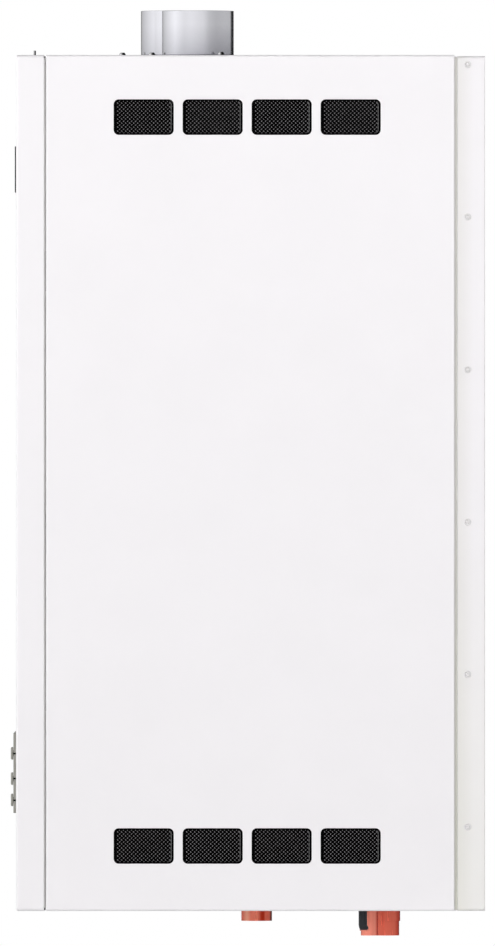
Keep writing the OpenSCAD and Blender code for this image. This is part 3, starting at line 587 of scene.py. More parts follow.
def carved(bm, cutters):
    """The mesh with the cutters' mesh taken out of it."""
    parts = []
    for source in (bm, cutters):
        bmesh.ops.recalc_face_normals(source, faces=source.faces)
        parts.append(linked("carving", mesh_of("carving", source)))
    cut = parts[0].modifiers.new("cut", "BOOLEAN")
    cut.operation = "DIFFERENCE"
    cut.solver = "EXACT"
    cut.object = parts[1]
    depsgraph = bpy.context.evaluated_depsgraph_get()
    result = bmesh.new()
    result.from_mesh(parts[0].evaluated_get(depsgraph).to_mesh())
    for part in parts:
        mesh = part.data
        bpy.data.objects.remove(part)
        bpy.data.meshes.remove(mesh)
    return result


# Sheet metal

BEND = 0.0013
BEND_STEPS = 6
END_ROUND = 0.0029
END_STEPS = 7
FLANGE_ROUND = 0.0034
REAR_EDGE = SIDE_BACK + 0.0003
VENT_SIZE = (0.060, 0.0355)
VENT_RADIUS = 0.005
VENT_PITCH = 0.069
VENT_ROW_MIDDLE = -0.2378
VENT_ROWS = (0.065, 0.7939)
VENT_COLUMNS = (-1.5, -0.5, 0.5, 1.5)
VENTS = [(VENT_ROW_MIDDLE + column * VENT_PITCH, row) for row in VENT_ROWS for column in VENT_COLUMNS]


def vent_outline(middle, grow=0.0, radius=VENT_RADIUS):
    return rounded_rectangle(middle, VENT_SIZE[0] + grow, VENT_SIZE[1] + grow, radius)


def slice_at(bm, place, normal):
    """Adds edges where a plane crosses the mesh."""
    everything = bm.verts[:] + bm.edges[:] + bm.faces[:]
    bmesh.ops.bisect_plane(bm, geom=everything, plane_no=normal, plane_co=place)


def round_ends(bm, low, high, radius):
    """Curves the upright sheets inwards at their lower and upper ends, as folded sheet is."""
    for step in range(END_STEPS):
        reach = radius * math.cos(math.pi / 2 * step / END_STEPS)
        for level in (low + radius - reach, high - radius + reach):
            slice_at(bm, (0, 0, level), (0, 0, 1))
    for vertex in bm.verts:
        beyond = max(low + radius - vertex.co.z, vertex.co.z - high + radius, 0.0)
        inwards = radius - math.sqrt(max(radius ** 2 - beyond ** 2, 0.0))
        vertex.co.x -= math.copysign(inwards, vertex.co.x)


def side_panel(side, material):
    """A flat sheet with eight vents, folded round at the casing's mouth."""
    flat_length = REAR_EDGE - (CASE_FRONT + BEND)
    bend_length = BEND * math.pi / 2
    length = flat_length + bend_length + (HALF_WIDTH - BEND - MOUTH_HALF)
    holes = [vent_outline((REAR_EDGE - y, z)) for y, z in VENTS]
    bm = bmesh.new()
    flat_plate(bm, rectangle(0, 0, length, HEIGHT), holes, -SHEET, 0, 0.00025)
    for step in range(BEND_STEPS + 1):
        slice_at(bm, (flat_length + bend_length * step / BEND_STEPS, 0, 0), (1, 0, 0))
    for vertex in bm.verts:
        along, up, depth = vertex.co
        turn = min(max(0.0, (along - flat_length) / BEND), math.pi / 2)
        straight = min(along, flat_length)
        beyond = max(0.0, along - flat_length - bend_length)
        vertex.co = (HALF_WIDTH - BEND + (BEND + depth) * math.cos(turn) - beyond,
                     REAR_EDGE - straight - (BEND + depth) * math.sin(turn), up)
    round_ends(bm, 0, HEIGHT, END_ROUND)
    if side == "left":
        mirrored(bm)
    finished("side_sheet_" + side, bm, material, ["side_panel_" + side])


COLLAR_HOLE = 0.03645
FLANGE_TOPS = {"exhaust_collar": HEIGHT + 0.0042, "air_collar": HEIGHT + 0.002}
RETURN_HEIGHT = 0.0202
RETURN_INSET = 0.0002


def end_panel(node, low, return_low, holes, material):
    """The top or bottom sheet, with its folded return at the casing's mouth."""
    half = HALF_WIDTH - END_ROUND - SHEET
    outline = rectangle(-half, CASE_FRONT + 0.0004, half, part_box(node)[1].y)
    bm = bmesh.new()
    plate(bm, "z", outline, holes, low, low + SHEET, 0.0002)
    block(bm, (-MOUTH_HALF, CASE_FRONT, return_low),
          (MOUTH_HALF, CASE_FRONT + SHEET, return_low + RETURN_HEIGHT), 0.0003)
    finished(node + "_sheet", bm, material, [node], 30)


def end_panels(material):
    collar_holes = [circle(middle_of(node)[:2], COLLAR_HOLE, 64) for node in FLANGE_TOPS]
    top_return = HEIGHT - RETURN_INSET - RETURN_HEIGHT
    end_panel("top_panel", HEIGHT - SHEET, top_return, collar_holes, material)
    pipe_holes = [circle(place, radius, 32) for place, _, radius in FLOOR_PIPES]
    end_panel("bottom_panel", 0, RETURN_INSET, pipe_holes, material)


LAP_DEPTH = 0.0022
LAP_REAR = -0.0278
FLANGE_FRONT = -0.0273
FLANGE_REAR = -0.0040
PANEL_FOOT = 0.0002
FIXING_HOLES = [(x, 0, z) for x in (-0.170, 0.170) for z in (0.110, 0.790)]
FIXING_RADIUS = 0.005
CUT_OUTSIDE = 0.002
CUT_INSIDE = 0.003


def rear_outline(front, flange, lap):
    """The rear panel seen from above: laps, stepped flanges and the flat wall side between them."""
    half = [(lap, front, 0), (lap, LAP_REAR, 0), (flange, FLANGE_FRONT, 0), (flange, FLANGE_REAR, 0),
            (flange, 0, 0)]
    other = [(-x, y, 0) for x, y, _ in reversed(half)]
    step = rounded_path(half[:-1], 0.0004, 3)
    other_step = rounded_path(other[1:], 0.0004, 3)
    wall_side = rounded_path([step[-1], half[-1], other[0], other_step[0]], 0.0012, 4)
    outer = step[:-1] + wall_side + other_step[1:]
    inner = []
    for i, point in enumerate(outer):
        before = outer[max(i - 1, 0)]
        after = outer[min(i + 1, len(outer) - 1)]
        along = (after - before).normalized()
        inner.append(point + Vector((-along.y, along.x, 0)) * SHEET)
    return [(point.x, point.y) for point in outer + inner[::-1]]


def rear_panel(material):
    """One folded sheet with four fixing holes, and the ledge that closes it above."""
    low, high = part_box("rear_panel")
    lap = high.x - LAP_DEPTH
    bm = bmesh.new()
    plate(bm, "z", rear_outline(low.y, high.x, lap), [], PANEL_FOOT, high.z, 0)
    round_ends(bm, PANEL_FOOT, high.z, FLANGE_ROUND)
    cutters = bmesh.new()
    for place in FIXING_HOLES:
        lathe(cutters, band(0, FIXING_RADIUS, -CUT_INSIDE, CUT_OUTSIDE), place, "y", 48)
    sheet = carved(bm, cutters)
    finished("rear_panel_sheet", sheet, flange_enamel(material), ["rear_panel"], 30)
    ledge = bmesh.new()
    block(ledge, (-lap + SHEET, SIDE_BACK - 0.012, high.z - SHEET), (lap - SHEET, -SHEET, high.z), 0.0003)
    finished("rear_panel_ledge", ledge, material)


DOOR_LIP = 0.022
DOOR_FOLD = 0.0024
DOOR_CORNER = 0.0036
NOTCH_HEIGHT = 0.0046
NOTCH_REACH = 0.0160
OPENING_RADIUS = 0.0046
PIN_HOLE_RADIUS = 0.0017
WINDOW_OPENING = (-0.071, 0.029)
WINDOW_OPENING_HALF = 0.018


def door_tray(bm):
    """The door's folded front and the lip round its back, as a skin from its outside to its inside."""
    front, rear, lip = DOOR_FRONT, DOOR_BACK + 0.0004, DOOR_LIP
    profile = rounded_path([(front, lip, 0), (front, 0, 0), (front + 0.010, 0, 0)], DOOR_FOLD, 5)
    profile += rounded_path([(rear - 0.010, 0, 0), (rear, 0, 0), (rear, lip, 0)], 0.0003, 3)
    profile += [(rear - SHEET, lip, 0), (rear - SHEET, SHEET, 0), (front + SHEET, SHEET, 0),
                (front + SHEET, lip, 0)]
    rings = []
    for y, inset, _ in profile:
        outline = rounded_rectangle((0, HEIGHT / 2), 2 * (HALF_WIDTH - inset), HEIGHT - 2 * inset,
                                    max(DOOR_CORNER - inset, 0.0004), 5)
        rings.append([(x, y, z) for x, z in outline])
    loft(bm, rings)


def front_door(material):
    """The door's tray, notched for the hinge arms and pierced for the controls and the hinge pins."""
    bm = bmesh.new()
    door_tray(bm)
    cutters = bmesh.new()
    notch_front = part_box("hinge_brackets")[0].y - 0.0026
    for low in (SHEET, HEIGHT - SHEET - NOTCH_HEIGHT):
        block(cutters, (-HALF_WIDTH - CUT_OUTSIDE, notch_front, low),
              (-HALF_WIDTH + NOTCH_REACH, DOOR_BACK + CUT_OUTSIDE, low + NOTCH_HEIGHT), 0)
    for z, _ in BUTTON_ROWS:
        opening = band(0, OPENING_RADIUS, -CUT_OUTSIDE, CUT_INSIDE)
        lathe(cutters, opening, (BUTTON_X, DOOR_FRONT, z), "y", 32)
    block(cutters, (WINDOW_OPENING[0], DOOR_FRONT - CUT_OUTSIDE, WINDOW_MIDDLE[1] - WINDOW_OPENING_HALF),
          (WINDOW_OPENING[1], DOOR_FRONT + CUT_INSIDE, WINDOW_MIDDLE[1] + WINDOW_OPENING_HALF), 0)
    for z in (0, HEIGHT):
        pin_hole = band(0, PIN_HOLE_RADIUS, -CUT_OUTSIDE, CUT_OUTSIDE)
        lathe(cutters, pin_hole, (HINGE_X, HINGE_Y, z), "z", 24)
    tray = carved(bm, cutters)
    finished("front_door_tray", tray, material, ["front_door"], 30, body="door")


# Wire mesh in the vents

MESH_PITCH = 0.00283
MESH_PLANE = 0.2389
MESH_CRIMP = 0.00035
WIRE_RADIUS = 0.00052
WIRE_SECTION = circle((0, 0), WIRE_RADIUS, 6)
WIRE_STEP = MESH_PITCH / 4
FRAME_BORDER = 0.0020
FRAME_DEPTH = (0.2375, 0.2397)
REAR_EXTRA = 0.0010
# Where the near-black sheet lies that stands in for the shade behind the wire.
SHADE_SHEET_DEPTH = (0.2370, 0.2379)
SHADE_SHEET_MARGIN = 0.006
WIRE_TUCK = 0.0004


def wire(bm, middle, direction, offset, crimp_sign, phase, half_size):
    """One crimped wire across a vent, clipped to the rectangle of half_size."""
    sideways = Vector((-direction.y, direction.x))
    base = sideways * offset
    low, high = -1.0, 1.0
    for axis in (0, 1):
        limits = sorted((sign * half_size[axis] - base[axis]) / direction[axis] for sign in (-1, 1))
        low = max(low, limits[0])
        high = min(high, limits[1])
    if high - low < MESH_PITCH:
        return
    rings = []
    for k in range(math.ceil(low / WIRE_STEP), math.floor(high / WIRE_STEP) + 1):
        along = k * WIRE_STEP
        lift = crimp_sign * MESH_CRIMP * math.cos(math.pi * along / MESH_PITCH + math.pi * phase)
        centre = Vector(middle) + base + direction * along
        level = MESH_PLANE + lift
        rings.append([(level + out, *(centre + sideways * across)) for across, out in WIRE_SECTION])
    loft(bm, rings)


def vent_inserts(side, frame_material, wire_material, shade_sheet_material):
    """Eight black frames with woven wire over a near-black sheet that stands in for the shade inside the
    casing, for one side of the casing.
    """
    frames, wires, shade_sheets = bmesh.new(), bmesh.new(), bmesh.new()
    inner = (VENT_SIZE[0] - 2 * FRAME_BORDER - REAR_EXTRA, VENT_SIZE[1] - 2 * FRAME_BORDER)
    half_size = (inner[0] / 2 + WIRE_TUCK, inner[1] / 2 + WIRE_TUCK)
    rows = int(sum(inner) / math.sqrt(2) / MESH_PITCH / 2) + 1
    for y, z in VENTS:
        hole = rounded_rectangle((y - REAR_EXTRA / 2, z), *inner, VENT_RADIUS - FRAME_BORDER)
        plate(frames, "x", vent_outline((y, z), -0.0001), [hole], *FRAME_DEPTH, 0.0010)
        plate(shade_sheets, "x", vent_outline((y, z), SHADE_SHEET_MARGIN, 0.006), [], *SHADE_SHEET_DEPTH, 0.0002)
        for slope in (1, -1):
            direction = Vector((1, slope)).normalized()
            for row in range(-rows, rows + 1):
                wire(wires, (y, z), direction, row * MESH_PITCH, slope, row, half_size)
    if side == "left":
        for bm in (frames, wires, shade_sheets):
            mirrored(bm)
    finished("vent_frames_" + side, frames, frame_material, ["vent_grilles_" + side])
    finished("vent_mesh_" + side, wires, wire_material, crease=80)
    finished("vent_shade_sheet_" + side, shade_sheets, shade_sheet_material)


# Small fittings on the casing

HINGE_X = -0.234
HINGE_Y = middle_of("hinge_pins").y
PIN_RADIUS = 0.0014
UPPER_PIN_LOW = 0.8495
LOWER_PIN_HEIGHT = 0.0063
FLANGE_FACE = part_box("rear_panel")[1].x
RIVET_Y = -0.0175
RIVET_HEIGHTS = [0.084 + 0.1525 * i for i in range(6)]
RIVET_HEAD = eased([(0, 0.0009), (0.0013, 0.0009), (0.0016, 0.0001), (0.0024, 0.0001), (0.0027, 0.0009),
                    (0.0036, 0.0005), (0.0036, -0.0001), (0, -0.0001)], 0.0002)


def rivet_enamel():
    """Enamel of the rivet heads, with painted shade in their ring groove."""
    material = surface("rivet_enamel", (0.80, 0.80, 0.795), 0.34, mottle=0.02, grain=900)
    out = math_node("ABSOLUTE", parts_of(material, "Object")[0])
    # Painted shade low on the head, in the ring groove.
    groove_shade = ranged(out, 0.22, 0, (FLANGE_FACE + 0.0002, FLANGE_FACE + 0.0006))
    return overlaid(material, groove_shade, (0.30, 0.30, 0.28))


def rivets(material):
    bm = bmesh.new()
    for z in RIVET_HEIGHTS:
        lathe(bm, RIVET_HEAD, (FLANGE_FACE, RIVET_Y, z), "x", 32)
    other_side = bm.copy()
    mirrored(other_side)
    add_to(bm, other_side)
    finished("rivet_heads", bm, material, ["flange_rivets"], 60)


def hinge_pins(material):
    low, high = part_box("hinge_pins")
    bm = bmesh.new()
    for ends in ((UPPER_PIN_LOW, high.z), (low.z, low.z + LOWER_PIN_HEIGHT)):
        lathe(bm, eased(band(0, PIN_RADIUS, *ends), 0.0003), (HINGE_X, HINGE_Y, 0), "z", 32)
    finished("hinge_pin_pair", bm, material, ["hinge_pins"])


COLLAR_OUTER = 0.036
COLLAR_WALL = 0.001
FLANGE_STEEL = 0.0012
SCREW_CIRCLES = {"exhaust_collar": 0.0548, "air_collar": 0.0463}
SCREW_ANGLES = (-90, 30, 150)
SCREW_HEAD = eased([(0, 0), (0.00325, 0), (0.00325, 0.0021), (0.0021, 0.0037), (0, 0.0037)], 0.0009, 4)


def collar(node, material, seal_material):
    """A flue collar turned from tube, with its screwed flange and the seal under it."""
    low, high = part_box(node)
    place = (*middle_of(node)[:2], 0)
    outer = COLLAR_OUTER
    inner = outer - COLLAR_WALL
    rim = (high.x - low.x) / 2
    top = FLANGE_TOPS[node]
    under = top - FLANGE_STEEL
    bm = bmesh.new()
    tube = [(inner, low.z), (outer, low.z), (outer, under), (rim, under), (rim, top), (outer + 0.0012, top),
            (outer + 0.0009, top + 0.0009), (outer, top + 0.0013), (outer, high.z), (inner, high.z)]
    turned_ring(bm, tube, 0.00035, place, "z", 128)
    finished(node + "_tube", bm, material, [node], 45)
    seal = bmesh.new()
    turned_ring(seal, band(outer + 0.0005, rim - 0.001, HEIGHT, under), 0.0003, place, "z", 96)
    finished(node + "_tube_seal", seal, seal_material)


def collar_screws(material):
    """Domed screws with a cross recess, three round each collar."""
    bm = bmesh.new()
    cutters = bmesh.new()
    cross = [(0.0019, 0.0004), (0.0004, 0.0004), (0.0004, 0.0019)]
    cross += [(-x, y) for x, y in reversed(cross)]
    cross += [(-x, -y) for x, y in cross]
    for node, radius in SCREW_CIRCLES.items():
        middle = middle_of(node)
        level = FLANGE_TOPS[node]
        for degrees in SCREW_ANGLES:
            x = middle.x + radius * math.cos(math.radians(degrees))
            y = middle.y + radius * math.sin(math.radians(degrees))
            lathe(bm, SCREW_HEAD, (x, y, level), "z", 32)
            outline = [(x + across, y + along) for across, along in cross]
            plate(cutters, "z", outline, [], level + 0.0022, level + 0.0045, 0)
    finished("collar_screw_heads", carved(bm, cutters), material, ["collar_screws"], 35)


SEAL_WIDTH = 0.008
BUFFER_RADIUS = 0.0013
BUFFER_DEPTH = 0.0021
BUFFER_X = HALF_WIDTH - 0.0052
BUFFER_HEIGHTS = (0.0020, HEIGHT - 0.0024)


def gasket(material):
    low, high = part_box("door_gasket")
    bm = bmesh.new()
    hole = rectangle(low.x + SEAL_WIDTH, low.z + SEAL_WIDTH, high.x - SEAL_WIDTH, high.z - SEAL_WIDTH)
    plate(bm, "y", rectangle(low.x, low.z, high.x, high.z), [hole], low.y, high.y, 0.0007)
    finished("door_seal", bm, material, ["door_gasket"], body="door")


def door_buffers(material):
    """Two small rubber studs that the door shuts against, at the ends of the seal."""
    bm = bmesh.new()
    profile = eased(band(0, BUFFER_RADIUS, 0, BUFFER_DEPTH), 0.0004)
    for z in BUFFER_HEIGHTS:
        lathe(bm, profile, (BUFFER_X, DOOR_BACK, z), "y", 24)
    finished("door_buffers", bm, material, body="door")


# Controls on the door

fascia_low, fascia_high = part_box("control_fascia")
BUTTONS = (("button_top", "top_button", 0.0), ("button_middle", "middle_button", 0.0004),
           ("button_bottom", "bottom_button", 0.0))
BUTTON_X = middle_of("button_top").x
BUTTON_ROWS = sorted((middle_of(node).z, slot_lift) for node, _, slot_lift in BUTTONS)
WINDOW_MIDDLE = (-0.021, (fascia_low.z + fascia_high.z) / 2)
WINDOW_SIZE = (0.114, 0.050)
HOLE_RADIUS = 0.00665
HOLE_STEPS = 30
SLOT_HALF = 0.00085
SLOT_PLAY = 0.00001


def slotted_hole(z, lift):
    """The outline of a button's hole together with the slot that joins it to the fascia's edge."""
    first = math.asin((lift - SLOT_HALF) / HOLE_RADIUS)
    last = math.asin((lift + SLOT_HALF) / HOLE_RADIUS)
    outline = [(fascia_high.x, z + lift - SLOT_HALF)]
    for step in range(HOLE_STEPS + 1):
        angle = first - (math.tau + first - last) * step / HOLE_STEPS
        outline.append((BUTTON_X + HOLE_RADIUS * math.cos(angle), z + HOLE_RADIUS * math.sin(angle)))
    return [*outline, (fascia_high.x, z + lift + SLOT_HALF)]


def fascia(material, guide_material):
    """A moulded plate whose button holes run out to its right-hand edge as fine slots."""
    corners = rounded_rectangle((0, WINDOW_MIDDLE[1]), fascia_high.x - fascia_low.x,
                                fascia_high.z - fascia_low.z, 0.002)
    quarter = len(corners) // 4
    outline = corners[quarter:]
    guides = bmesh.new()
    for z, lift in BUTTON_ROWS:
        outline += slotted_hole(z, lift)
        low = z + lift - SLOT_HALF + SLOT_PLAY
        high = z + lift + SLOT_HALF - SLOT_PLAY
        block(guides, (BUTTON_X + HOLE_RADIUS + 0.0005, fascia_low.y + 0.0001, low),
              (fascia_high.x - 0.00002, fascia_high.y, high), 0)
    outline += corners[:quarter]
    window = rounded_rectangle(WINDOW_MIDDLE, *WINDOW_SIZE, 0.003)
    bm = bmesh.new()
    plate(bm, "y", outline, [window], fascia_low.y, fascia_high.y, 0.00035)
    finished("fascia_plate", bm, material, ["control_fascia"], 35, body="door")
    finished("fascia_guides", guides, guide_material, body="door")


DIGIT_SIZE = (0.013, 0.024)
DIGIT_PITCH = 0.022
DIGIT_BAR = 0.0022


def seven_segments(bm, middle, lit, front):
    """The named segments of one digit, as thin six-sided bars on the glass."""
    half_bar = DIGIT_BAR / 2
    half_w, half_h = DIGIT_SIZE[0] / 2, DIGIT_SIZE[1] / 2
    centres = {"a": (0, half_h, 0), "d": (0, -half_h, 0), "g": (0, 0, 0), "b": (half_w, half_h / 2, 1),
               "c": (half_w, -half_h / 2, 1), "e": (-half_w, -half_h / 2, 1), "f": (-half_w, half_h / 2, 1)}
    for name in lit:
        across, up, upright = centres[name]
        reach = (half_h / 2 if upright else half_w) - 0.0003
        shape = [(-reach, 0), (-reach + half_bar, -half_bar), (reach - half_bar, -half_bar), (reach, 0),
                 (reach - half_bar, half_bar), (-reach + half_bar, half_bar)]
        if upright:
            shape = [(-y, x) for x, y in shape]
        outline = [(middle[0] + across + x, middle[1] + up + y) for x, y in shape]
        plate(bm, "y", outline, [], front - 0.00008, front + 0.0001, 0)


def display(window_material, digit_material):
    """The window's glass, with the number 80 on its face."""
    low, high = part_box("display_window")
    bm = bmesh.new()
    outline = rounded_rectangle(WINDOW_MIDDLE, WINDOW_SIZE[0] - 0.0002, WINDOW_SIZE[1] - 0.0002, 0.003)
    plate(bm, "y", outline, [], low.y, high.y, 0.0005)
    finished("display_glass", bm, window_material, ["display_window"], body="door")
    digits = bmesh.new()
    left = WINDOW_MIDDLE[0] - 0.013
    for x, lit in ((left, "abcdef"), (left + DIGIT_PITCH, "abcdef"), (left, "g")):
        seven_segments(digits, (x, WINDOW_MIDDLE[1]), lit, low.y)
    finished("display_digits", digits, digit_material, body="door")


STEM_RADIUS = 0.003
STEM_RIM = 0.0042
STEM_RIM_DEPTH = 0.0012


def button(name, body, material, stem_material):
    low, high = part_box(name)
    place = (BUTTON_X, 0, (low.z + high.z) / 2)
    radius = (high.x - low.x) / 2
    back = low.y + 0.0024
    cap = bmesh.new()
    profile = [(0, low.y + 0.0004), (radius * 0.55, low.y + 0.0003), (radius * 0.86, low.y),
               (radius, low.y + 0.0007), (radius, back), (0, back)]
    lathe(cap, eased(profile, 0.0004, 4), place, "y", 56)
    finished(name + "_cap", cap, material, [name], body=body)
    stem = bmesh.new()
    guide = DOOR_FRONT + 0.0026
    profile = [(0, back - 0.0002), (STEM_RADIUS, back - 0.0002), (STEM_RADIUS, guide), (STEM_RIM, guide),
               (STEM_RIM, guide + STEM_RIM_DEPTH), (STEM_RADIUS, guide + STEM_RIM_DEPTH),
               (STEM_RADIUS, high.y), (0, high.y)]
    lathe(stem, profile, place, "y", 32)
    finished(name + "_stem", stem, stem_material, body=body)


def badge(plate_material, rim_material):
    """The bare plate near the door's top, with a fine raised rim."""
    low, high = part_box("badge_plate")
    middle = ((low.x + high.x) / 2, (low.z + high.z) / 2)
    width, height = high.x - low.x, high.z - low.z
    field = bmesh.new()
    outline = rounded_rectangle(middle, width - 0.003, height - 0.003, 0.0006)
    plate(field, "y", outline, [], low.y + 0.0005, high.y, 0.0002)
    finished("badge_field", field, plate_material, ["badge_plate"], body="door")
    rim = bmesh.new()
    hole = rounded_rectangle(middle, width - 0.0032, height - 0.0032, 0.0006)
    outline = rounded_rectangle(middle, width, height, 0.001)
    plate(rim, "y", outline, [hole], low.y - 0.00015, high.y, 0.0001)
    finished("badge_rim", rim, rim_material, body="door")


# Pipes

TAIL_BORE = 0.03
SLEEVE_ENDS = (-0.0128, 0.020)
UNION_NUTS = (((-0.176, -0.250, 0.404), "z", 0.024, 0.014), ((-0.162, -0.322, 0.590), "z", 0.024, 0.014),
              ((-0.118, -0.118, 0.180), "z", 0.030, 0.016), ((0.130, -0.275, 0.207), "z", 0.030, 0.016),
              ((0.040, -0.158, 0.540), "y", 0.030, 0.014), ((0.130, -0.164, 0.520), "y", 0.030, 0.014),
              ((-0.059, HOT_AT[1], 0.165), "x", 0.026, 0.013),
              ((0.031, COLD_AT[1], 0.215), "x", 0.026, 0.013))


def copper_pipe(name, node, points, radius, bend, material, bore=0.0, sleeved=False):
    """A bent copper tube, with a collar round its lower end if it's sleeved."""
    bm = bmesh.new()
    sweep(bm, rounded_path(points, bend, 10), radius, 40, bore)
    if sleeved:
        turned_ring(bm, band(radius - 0.0002, SLEEVE_RADIUS, *SLEEVE_ENDS), 0.0003, (*points[0][:2], 0))
    finished(name, bm, material, [node], 45)


def water_tail(name, place, rest, radius, bend, material):
    """A water pipe from its open lower end; the thicker ones are sleeved there."""
    node = name + "_pipe"
    points = [(*place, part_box(node)[0].z), *rest]
    copper_pipe(name + "_tail", node, points, radius, bend, material, TAIL_BORE, radius == TAIL_RADIUS)


def water_tails(red, pale):
    water_tail("flow", FLOW_AT, [(*FLOW_AT, 0.085)], TAIL_RADIUS, 0.030, red)
    water_tail("return", RETURN_AT, [(*RETURN_AT, 0.150), (RETURN_AT[0], -0.236, 0.150)],
               TAIL_RADIUS, 0.032, red)
    water_tail("hot_water", HOT_AT, [(*HOT_AT, 0.165), (-0.045, HOT_AT[1], 0.165)], TAP_RADIUS, 0.020, pale)
    water_tail("cold_water", COLD_AT, [(*COLD_AT, 0.215), (0.030, COLD_AT[1], 0.215)],
               TAP_RADIUS, 0.024, pale)


def inner_pipes(material):
    """The pipes from unit to unit inside the casing."""
    copper_pipe("exchanger_flow_tube", "exchanger_flow_pipe",
                [(0.040, -0.166, 0.540), (0.040, -0.118, 0.540), (-0.118, -0.118, 0.540),
                 (-0.118, -0.118, 0.179)], 0.010, 0.024, material)
    copper_pipe("exchanger_return_tube", "exchanger_return_pipe",
                [(0.130, -0.275, 0.206), (0.130, -0.275, 0.250), (0.130, -0.140, 0.250),
                 (0.130, -0.140, 0.520), (0.130, -0.166, 0.520)], 0.010, 0.022, material)
    copper_pipe("gas_supply_tube", "gas_supply_pipe",
                [(-0.176, -0.250, 0.406), (-0.176, -0.250, 0.470), (-0.176, -0.322, 0.470),
                 (-0.162, -0.322, 0.520), (-0.162, -0.322, 0.606)], 0.007, 0.018, material)


def union_nuts(material):
    """Six-sided union nuts with chamfered ends, where pipes meet their units."""
    bm = bmesh.new()
    for place, axis, across, height in UNION_NUTS:
        radius = across / math.sqrt(3)
        lathe(bm, [(0, 0), (radius * 0.9, 0), (radius, height * 0.12), (radius, height * 0.88),
                   (radius * 0.9, height), (0, height)], place, axis, 6)
    finished("union_nuts", bm, material, crease=30)


BARB_EXTRA = 0.0003
SPOUT_BORE = 0.0020
SPOUT_BORE_DEPTH = 0.030
SPOUT_LEAN = 0.0012


def drain_spout(material):
    """The condensate spout, whose barbed end leans a little towards the wall."""
    low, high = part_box("condensate_spout")
    middle = middle_of("condensate_spout")
    barb = (high.x - low.x) / 2
    radius = barb - BARB_EXTRA
    bm = bmesh.new()
    profile = [(0, low.z + SPOUT_BORE_DEPTH), (SPOUT_BORE, low.z + SPOUT_BORE_DEPTH), (SPOUT_BORE, low.z),
               (0.0034, low.z), (barb, low.z + 0.0017), (barb, low.z + 0.0030), (radius, low.z + 0.0050),
               (radius, high.z), (0, high.z)]
    lathe(bm, eased(profile, 0.0004, 4), (middle.x, middle.y - 0.0007, 0), "z", 40)
    for vertex in bm.verts:
        share = (low.z + 0.0055 - vertex.co.z) / 0.0035
        vertex.co.y += SPOUT_LEAN * min(max(share, 0.0), 1.0)
    finished("drain_spout", bm, material, ["condensate_spout"])


SHADE_RING_DROP = 0.0012


def pipe_seals(material):
    """Thin black rubber rings round the pipes, in the holes of the casing's floor, that stand in for the
    shade in the gaps round the pipes.
    """
    bm = bmesh.new()
    for place, radius, _ in FLOOR_PIPES:
        ring = band(radius + 0.0001, radius + 0.0008, -SHADE_RING_DROP, SHEET)
        turned_ring(bm, ring, 0.0001, (*place, 0), steps=2)
    finished("pipe_seals", bm, material)


# Pressure gauge

GAUGE_SWEEP = 270
GAUGE_START = 225
GAUGE_DIVISIONS = 20
GAUGE_NUMBERS = 5
gauge_middle = middle_of("pressure_gauge")
dial_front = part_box("pressure_gauge")[0].y + 0.0078


def gauge_angle(i, divisions):
    return math.radians(GAUGE_START - GAUGE_SWEEP * i / divisions)


def gauge_dial(material):
    bm = bmesh.new()
    place = (gauge_middle.x, dial_front, gauge_middle.z)
    turned_ring(bm, band(0.0009, 0.0236, 0, 0.0006), 0.0002, place, "y", 64)
    finished("gauge_dial", bm, material)


def gauge_marks(material):
    """Short lines round the dial, every fifth one longer and wider."""
    bm = bmesh.new()
    middle = Vector((gauge_middle.x, gauge_middle.z))
    for i in range(GAUGE_DIVISIONS + 1):
        angle = gauge_angle(i, GAUGE_DIVISIONS)
        start, half = (0.0175, 0.0004) if i % 5 == 0 else (0.0195, 0.0002)
        outward = Vector((math.cos(angle), math.sin(angle)))
        sideways = Vector((-outward.y, outward.x)) * half
        inner = middle + outward * start
        outer = middle + outward * 0.0222
        outline = [inner - sideways, outer - sideways, outer + sideways, inner + sideways]
        plate(bm, "y", outline, [], dial_front - 0.0001, dial_front + 0.0001, 0)
    finished("gauge_marks", bm, material)


def gauge_numbers(material):
    """Plain numbers from 0 to 4 over three quarters of a turn."""
    for i in range(GAUGE_NUMBERS):
        angle = gauge_angle(i, GAUGE_NUMBERS - 1)
        number = bpy.data.curves.new("gauge_number", "FONT")
        number.body = str(i)
        number.size = 0.0062
        number.align_x = "CENTER"
        number.align_y = "CENTER"
        number.extrude = 0.00005
        number.materials.append(material)
        piece = linked("gauge_number_" + str(i), number)
        piece.location = (gauge_middle.x + 0.0138 * math.cos(angle), dial_front - 0.0001,
                          gauge_middle.z + 0.0138 * math.sin(angle))
        piece.rotation_euler = (math.radians(90), 0, 0)
        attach(piece, "casing")


# The ground under the object

FLOOR_LEVEL = -0.33
FLOOR_HALF = 10


def ground():
    """Pale ground that can't be seen from below, so that the underside can be looked at."""
    material = surface("ground", (0.80, 0.80, 0.80), 0.9, mottle=0.01, cloud=3, grain=60, specular=0.0)
    tree = material.node_tree
    looked_at = add_node(tree, "LightPath", {}).outputs["Is Camera Ray"]
    overlaid(material, looked_at, (0.42, 0.42, 0.42))
    paper = add_node(tree, "Emission", {"Strength": looked_at, "Color": (0.71, 0.71, 0.71)}).outputs[0]
    pale = add_node(tree, "AddShader", {0: tree.nodes["Principled BSDF"].outputs[0], 1: paper}).outputs[0]
    clear = add_node(tree, "BsdfTransparent", {}).outputs[0]
    from_below = add_node(tree, "NewGeometry", {}).outputs["Backfacing"]
    put(tree.nodes["Material Output"].inputs["Surface"], mixed_shaders(from_below, pale, clear))
    return material


def make_floor():
    bm = bmesh.new()
    for corner in rectangle(-FLOOR_HALF, -FLOOR_HALF, FLOOR_HALF, FLOOR_HALF):
        bm.verts.new((*corner, FLOOR_LEVEL))
    bm.faces.new(bm.verts[:])
    mesh = mesh_of("floor", bm)
    mesh.materials.append(ground())
    linked("floor", mesh)


# Finishes of the CAD nodes that stay as they are

